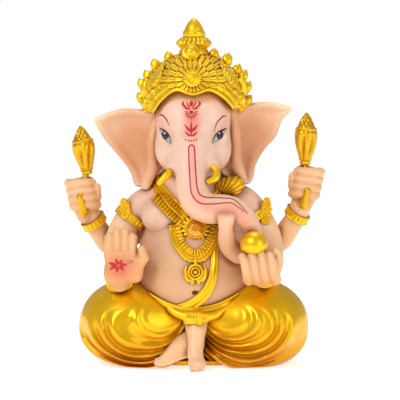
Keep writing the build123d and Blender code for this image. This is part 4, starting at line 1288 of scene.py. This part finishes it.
def head_blush(p):
    """Pink behind the forehead ornament, along the trunk stripes and over the eyes."""
    x, z = p[:, 0], p[:, 2]
    front = unit((-p[:, 1] - 8) / 4)
    brow = 0.7 * bump((x + 1.1) / 5.4) * bump((z - 103.5) / 10)
    stripe = curve(TRUNK_STRIPE, 5)
    line = np.stack([stripe[:, 0], 0 * stripe[:, 0], stripe[:, 1]], axis=1)
    distance, _ = trail(np.stack([x, 0 * x, z], axis=1), line)
    glow = 0.42 * unit(1 - distance / 4.0) * (z < 97)
    lids = 0.35 * (near(p, (-13.5, -16, 103.5), 6) + near(p, (12.5, -16, 103.5), 6))
    return unit(np.maximum(brow, glow) + lids) * front


# Warm tint over the ear's bowl: partly airbrushed tone and partly painted shade in the hollow.
def ear_warm(x, z):
    return lambda p: unit(1.45 - np.hypot(p[:, 0] - x, (p[:, 2] - z) * 0.75) / 13)


def ear_shade(x, z):
    return lambda p: unit(1 - np.hypot(p[:, 0] - x, (p[:, 2] - z) * 0.6) / 8) * 0.5


def palm_blush(p):
    return 0.75 * near(p, (-30.6, -31, 43.6), 8.5)


# Painted shade: the gold cloth takes a darker orange towards the bottom.
def cloth_shade_below(p):
    return 0.8 * unit((20 - p[:, 2]) / 16)


# Voxels in millimetres: big smooth forms, hands and feet, gold relief, the smallest ornaments.
SMOOTH, FINE, RELIEF, TINY = 0.42, 0.28, 0.25, 0.22

# Where the fields of the head and the open palm expect their CAD nodes.
HEAD_PLACE = (6.4, -12.9, 81.8)
PALM_PLACE = (-29.0, -27.6, 48.3)

place(
    "torso", torso_field, (0, -1.5, 50), 0.5, BODY, 6,
    warm=warmth_and_shade_below(60, 46), shade=torso_shade,
)
place(
    "head_and_trunk", head_field, HEAD_PLACE, SMOOTH, FACE, 6, "head",
    warm=head_warm, shade=head_shade, blush=head_blush,
)
place(
    "right_ear", ear_field(RIGHT_EAR, (-29, 93), -1), (-28.9, -0.9, 90.9), SMOOTH, EAR, 6,
    warm=ear_warm(-25, 92), shade=ear_shade(-21, 88),
)
place(
    "left_ear", ear_field(LEFT_EAR, (29, 96), 1), (28.7, -0.8, 92.3), SMOOTH, EAR, 6,
    warm=ear_warm(24, 94), shade=ear_shade(20, 90),
)
place("right_tusk", right_tusk_field, (-12.2, -23.9, 83.0), RELIEF, GOLD)
place("left_tusk", left_tusk_field, (10.5, -23.2, 83.3), RELIEF, GOLD)

for name, field, node, centre, top, bottom in (
    ("right_front_arm", front_arm_field(RIGHT_ARM, "right"), "front_right_arm", (-28.3, -11, 54.6), 62, 40),
    ("left_front_arm", front_arm_field(LEFT_ARM, "left"), "front_left_arm", (27.4, -11.3, 55.8), 62, 42),
    ("right_rear_arm", rear_arm_field(RIGHT_REAR), "rear_right_arm", (-32.7, 6, 56), 70, 46),
    ("left_rear_arm", rear_arm_field(LEFT_REAR), "rear_left_arm", (33.4, 5.9, 56.7), 72, 48),
):
    place(name, field, centre, SMOOTH, ARM, 5, node, warm=warmth_and_shade_below(top, bottom))

place(
    "right_palm", right_palm_field, PALM_PLACE, FINE, HAND, 5, "front_right_hand",
    warm=warmth_and_shade_below(66, 42), blush=palm_blush,
)
place(
    "left_palm", left_palm_field, (27.4, -33.4, 44.7), FINE, HAND, 5, "front_left_hand",
    warm=warmth_and_shade_below(48, 38),
)
place(
    "right_fist", fist_field((-47.4, -1, 72), -1), (-46.7, -1.5, 72), 0.3, HAND, 5, "rear_right_hand",
    warm=warmth_and_shade_below(74, 64),
)
place(
    "left_fist", fist_field((48, -1, 76.8), 1), (47.3, -1.5, 76.8), 0.3, HAND, 5, "rear_left_hand",
    warm=warmth_and_shade_below(79, 69),
)
place("modak", sweet_field, SWEET_CENTRE, 0.35, GOLD)

place("crown", crown_field, (0, 0.2, 116.5), 0.3, CROWN_GOLD, 5, "crown_cap")
place("crown_fan", fan_field, (-0.6, -14.8, 125.5), RELIEF, CROWN_GOLD, 7)
place("crown_rim", rim_field, (-0.3, -17.5, 112.8), RELIEF, GOLD)
place("crown_rosette", rosette_field, (-0.6, -21.8, 122.6), TINY, GOLD)
place("crown_jewel", jewel_field, (-0.9, -8.4, 134.2), TINY, GOLD)
place("crown_leaves", leaves_field, (0, 1, 123.4), FINE, GOLD, 5)
place("finial_lotus", lotus_field, (0, 0, 134.3), RELIEF, GOLD)
place("finial_bud", bud_field, (0, 0, 142), RELIEF, GOLD)

place("collar", collar_field, (-0.3, -12.1, 67.1), RELIEF, GOLD, 5)
place("chest_brooch", brooch_field, (0.6, -22.1, 59.6), TINY, GOLD)
place("chest_gem", gem_field, (0.6, -25.1, 60), 0.2, STONE)
place("festoon", festoon_field, (0.6, -23.2, 53), RELIEF, GOLD, 5)
place("pendant", pendant_field, (0.6, -28.9, 42.4), 0.2, GOLD, 5)
place("sash", sash_field, (2.2, -23.8, 41.5), FINE, GOLD, 6)

right_arm_skin = front_arm_field(RIGHT_ARM)
left_arm_skin = front_arm_field(LEFT_ARM)
right_rear_skin = rear_arm_field(RIGHT_REAR)
left_rear_skin = rear_arm_field(LEFT_REAR)
# Armlets and bracelets: limb, (middle, direction), CAD place, half width, thickness, ribs round it.
CUFFS = {
    "right_armlet": (right_arm_skin, ARMLETS["right"], (-27.6, -3, 61.6), 1.8, 1.0, 22),
    "left_armlet": (left_arm_skin, ARMLETS["left"], (27.4, -3, 62.2), 1.8, 1.0, 22),
    "front_right_bracelet": (
        right_arm_skin, ((-31.4, -23.4, 37.2), (0.12, -0.93, -0.35)), (-31.4, -20.6, 39.4), 1.6, 1.0, 18,
    ),
    "front_left_bracelet": (
        left_arm_skin, ((29.8, -24.0, 39.8), (-0.25, -0.95, -0.22)), (29.4, -20.6, 41.4), 1.6, 1.0, 18,
    ),
    "rear_right_bracelet": (
        right_rear_skin, ((-43.4, 1.7, 59.8), (-0.5, -0.3, 0.85)), (-43.2, 1.9, 59.8), 1.7, 0.9, 18,
    ),
    "rear_left_bracelet": (
        left_rear_skin, ((44.5, 1.7, 62.8), (0.5, -0.3, 0.85)), (44.2, 1.9, 63), 1.7, 0.9, 18,
    ),
}
for name, (skin, line, centre, half, lift, ribs) in CUFFS.items():
    place(name, cuff_field(skin, *line, half, lift, ribs), centre, RELIEF, GOLD)
right_crest = crest_field((-28.6, -8.8, 62.6), (-30.2, -7.6, 70.6))
left_crest = crest_field((30.2, -8.6, 60.6), (31.4, -7.8, 71.0))
place("right_armlet_crest", right_crest, (-30.1, -8.5, 65.7), TINY, GOLD, 5)
place("left_armlet_crest", left_crest, (30.7, -8.5, 65.4), TINY, GOLD, 5)

right_mace = mace_field((-45.9, -2.4, 81.6), (-48.7, -2, 101.3), (-48.6, -7.4, 70.6), 4.8)
left_mace = mace_field((47.7, -2.4, 85.8), (48.3, -2, 106.9), (48.4, -7.4, 73.8), 4.7)
place("right_mace", right_mace, (-47.2, -3, 82.4), RELIEF, MACE_GOLD, 5)
place("left_mace", left_mace, (48, -3, 87.1), RELIEF, MACE_GOLD, 5)

for name, side in (("right_dhoti_leg", -1), ("left_dhoti_leg", 1)):
    place(name, leg_field(side), (side * 24.5, -9.6, 18.2), SMOOTH, CLOTH_GOLD, 5, warm=cloth_shade_below)
place("dhoti_seat", seat_field, (0, 5, 13.1), 0.5, CLOTH_GOLD, 5, warm=cloth_shade_below)
place("waistband", waist_field, (0, 0, 25.5), 0.3, GOLD, 5)
place("waist_knot", knot_field, (2, -30.4, 21.6), FINE, GOLD, 6)
# Both feet are one paint; the folded foot's extra warm tint is painted shade, where it lies behind the shin.
place("hanging_foot", hanging_foot_field, (1, -30.5, 11.7), 0.3, ARM, 5, warm=even(0.3))
place("folded_foot", folded_foot_field, (-7.4, -25.6, 6.5), 0.3, ARM, 5, warm=even(0.7))
place("base_plate", base_field, (0, -0.2, 1), 0.4, CLOTH_GOLD)


# ------------------------------------------------------------------ painted marks on the head and palm
face_shift = follow("head", *HEAD_PLACE)
palm_shift = follow("front_right_hand", *PALM_PLACE)


def on_surface(name, field, shift, grids, material, lift):
    """Painted marks, drawn where the field stands and moved with it."""
    moved = [grid + shift[[0, 2]] for grid in grids]
    painted(name, lambda p: field(p - shift), moved, material, lift)


def on_face(name, grids, material, lift):
    on_surface(name, head_field, face_shift, grids, material, lift)


def double_stripe():
    """Two lines down the trunk, joined by an arch at the top."""
    left = [
        (-2.2, 92.8), (-1.7, 82.2), (-0.9, 75.0), (2.2, 71.2),
        (7.4, 70.6), (14.9, 71.1), (18.2, 69.4), (21.0, 67.2),
    ]
    right = [
        (0.3, 92.8), (0.9, 82.2), (1.9, 75.6), (4.8, 73.4),
        (11.6, 73.0), (16.4, 72.4), (19.4, 70.0), (22.4, 66.4),
    ]
    arch = [(-2.2, 92.8), (-1.9, 94.0), (-0.95, 94.6), (0.0, 94.0), (0.3, 92.8)]
    widths = [0.5, 0.5, 0.42, 0.3]
    return [stroke(left, widths), stroke(right, widths), stroke(arch, [0.5, 0.5])]


def forehead_marks():
    """A crest of leaves, a rayed rosette, a sprig and a row of dots, down the forehead."""
    x = -1.1
    rosette_z = 107.8
    marks = [spot(x, 111.4, 0.75, 1.5), spot(x, rosette_z, 0.85)]
    for side in (-1, 1):
        outer_leaf = [(0.5, 109.3), (2.0, 109.5), (3.6, 111.4), (3.0, 112.4)]
        inner_leaf = [(0.4, 109.9), (1.3, 110.6), (1.9, 112.3)]
        high_frond = [(0, 99.9), (1.3, 101.0), (2.9, 102.9)]
        low_frond = [(0, 98.3), (1.2, 98.7), (2.6, 100.0)]
        for line, widths in (
            (outer_leaf, [0.5, 0.9, 0.9, 0.25]),
            (inner_leaf, [0.4, 0.7, 0.2]),
            (high_frond, [0.5, 1.15, 0.2]),
            (low_frond, [0.4, 0.95, 0.2]),
        ):
            marks.append(stroke([(x + side * u, z) for u, z in line], widths))
    for k in range(9):
        a = math.radians(-96 + 24 * k)
        ray = [(x + r * math.sin(a), rosette_z - r * math.cos(a)) for r in (1.45, 2.9)]
        marks.append(stroke(ray, [0.62, 0.2], 3, 2))
    marks.append(stroke([(x, 104.2), (x, 101.2), (x, 98.0)], [0.2, 1.0, 0.3]))
    marks += [spot(x + 1.15 * k, 96.3 + 0.1 * k * k, 0.36) for k in (-2, -1, 0, 1, 2)]
    return marks


def brows():
    right = [(-14.7, 106.0), (-13.9, 106.5), (-12.9, 106.2), (-11.5, 104.5), (-10.4, 102.2)]
    left = [(13.8, 105.8), (12.8, 106.1), (11.6, 105.4), (9.7, 103.2), (8.5, 99.8)]
    return [stroke(line, [0.2, 0.5, 0.5, 0.45, 0.15]) for line in (right, left)]


def eye(outer, inner):
    """Almond of a slanting eye between its corners: the white, the upper lid line and the lower."""
    outer, inner = np.array(outer), np.array(inner)
    along = inner - outer
    up = np.array([-along[1], along[0]]) * math.copysign(1, along[0])
    up /= length(up)
    centre = (outer + inner) / 2 + up * 0.18
    white = stroke([outer, centre, inner], [0.12, 1.7, 2.2, 1.7, 0.12], 10, 6)
    lid_line = [
        outer - along * 0.08,
        outer + along * 0.22 + up * 1.1,
        outer + along * 0.55 + up * 1.5,
        inner + up * 0.3,
    ]
    lid = stroke(lid_line, [0.4, 0.95, 0.5, 0.12], 6)
    low = stroke([outer, outer + along * 0.5 - up * 1.1, inner], [0.1, 0.18, 0.12], 8)
    return white, lid, low


def palm_marks():
    """A loose red flower of brush strokes."""
    x, z = -31.4, 44.4
    rays = [(-4.2, 1.0), (-3.6, -1.6), (-1.2, 2.8), (1.6, 2.4), (3.6, 0.4), (2.2, -2.0), (-0.8, -2.8)]
    lines = [
        [(x + 0.2 * u, z + 0.2 * v), (x + 0.6 * u, z + 0.55 * v + 0.2), (x + u, z + v)] for u, v in rays
    ]
    return [stroke(line, [0.6, 1.35, 0.3], 4) for line in lines]


right_eye = eye((-14.3, 100.5), (-9.8, 94.6))
left_eye = eye((13.5, 100.3), (7.8, 94.8))
whites, lids, lows = zip(right_eye, left_eye)
irises = [spot(-12.2, 98.0, 1.3, 1.4, 24), spot(11.1, 98.0, 1.3, 1.4, -24)]
# Painted highlights on the irises.
glints = [spot(-12.4, 98.9, 0.3), spot(10.7, 98.9, 0.3)]
on_face("eye_whites", whites, EYE_WHITE, 0.06)
on_face("eye_irises", irises, EYE_DARK, 0.12)
on_face("eye_glints", glints, EYE_GLINT, 0.18)
on_face("eye_lids", lids + lows, BROWN, 0.16)
on_face("brows", brows(), BROWN, 0.08)
on_face("forehead_ornament", forehead_marks(), RED, 0.08)
on_face("trunk_stripes", double_stripe(), STRIPE, 0.08)
on_surface("palm_mark", right_palm_field, palm_shift, palm_marks(), RED, 0.08)


# ------------------------------------------------------------------ floor, light and camera
# Lamps, each (offset from the torso in metres, side in metres, watts).
LAMPS = {
    "key": ((-0.5, -0.75, 0.75), 0.4, 5.9),
    "fill": ((0.75, -0.6, 0.25), 0.6, 2.0),
    "top": ((0.05, 0.25, 0.9), 0.5, 2.3),
}
CAMERA_DISTANCE = 0.9
CAMERA_RISE = 5  # degrees above level
VIEW_WIDTH = 0.1696  # metres across the picture at the figure
SENSOR_WIDTH = 36
AIM = (0.0023, -0.015, 0.0704)  # right of the figure's middle, depth and height


def studio():
    """A glowing white floor, a white surround and three soft lamps."""
    white = bpy.data.materials.new("studio_floor")
    white.use_nodes = True
    surface = white.node_tree.nodes["Principled BSDF"]
    surface.inputs["Base Color"].default_value = (0.93, 0.93, 0.93, 1)
    surface.inputs["Roughness"].default_value = 0.9
    surface.inputs["Emission Color"].default_value = (1, 1, 1, 1)
    surface.inputs["Emission Strength"].default_value = 0.62
    bpy.ops.mesh.primitive_plane_add(size=8, location=(0, 0, -0.0002))
    floor = bpy.context.object
    floor.name = "studio_floor"
    floor.data.materials.append(white)
    floor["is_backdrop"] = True

    world = bpy.data.worlds.new("studio")
    world.use_nodes = True
    bpy.context.scene.world = world
    nodes, links = world.node_tree.nodes, world.node_tree.links
    backdrop = nodes["Background"]
    seen = nodes.new("ShaderNodeLightPath").outputs["Is Camera Ray"]
    links.new(ranged(nodes, links, seen, 0, 1, 0.4, 1.0), backdrop.inputs["Strength"])
    backdrop.inputs["Color"].default_value = (1, 1, 1, 1)

    middle = Vector((mid("torso") * MM).tolist())
    for name, (offset, size, power) in LAMPS.items():
        data = bpy.data.lights.new(name, "AREA")
        data.size, data.energy = size, power
        lamp = bpy.data.objects.new(name, data)
        lamp.location = middle + Vector(offset)
        lamp.rotation_euler = (-Vector(offset)).to_track_quat("-Z", "Y").to_euler()
        bpy.context.collection.objects.link(lamp)


def camera():
    """A long lens, nearly level with the figure and square to its front."""
    rise = math.radians(CAMERA_RISE)
    low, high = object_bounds()
    centre = Vector(((low[0] + high[0]) / 2 + AIM[0], AIM[1], AIM[2]))
    view = bpy.data.objects.new("camera", bpy.data.cameras.new("camera"))
    view.data.lens = SENSOR_WIDTH * CAMERA_DISTANCE / VIEW_WIDTH
    view.data.clip_start = 0.01
    view.location = centre + Vector((0, -math.cos(rise), math.sin(rise))) * CAMERA_DISTANCE
    view.rotation_euler = (centre - view.location).to_track_quat("-Z", "Y").to_euler()
    bpy.context.collection.objects.link(view)
    bpy.context.scene.camera = view


studio()
camera()
bpy.context.scene.view_settings.view_transform = "Standard"
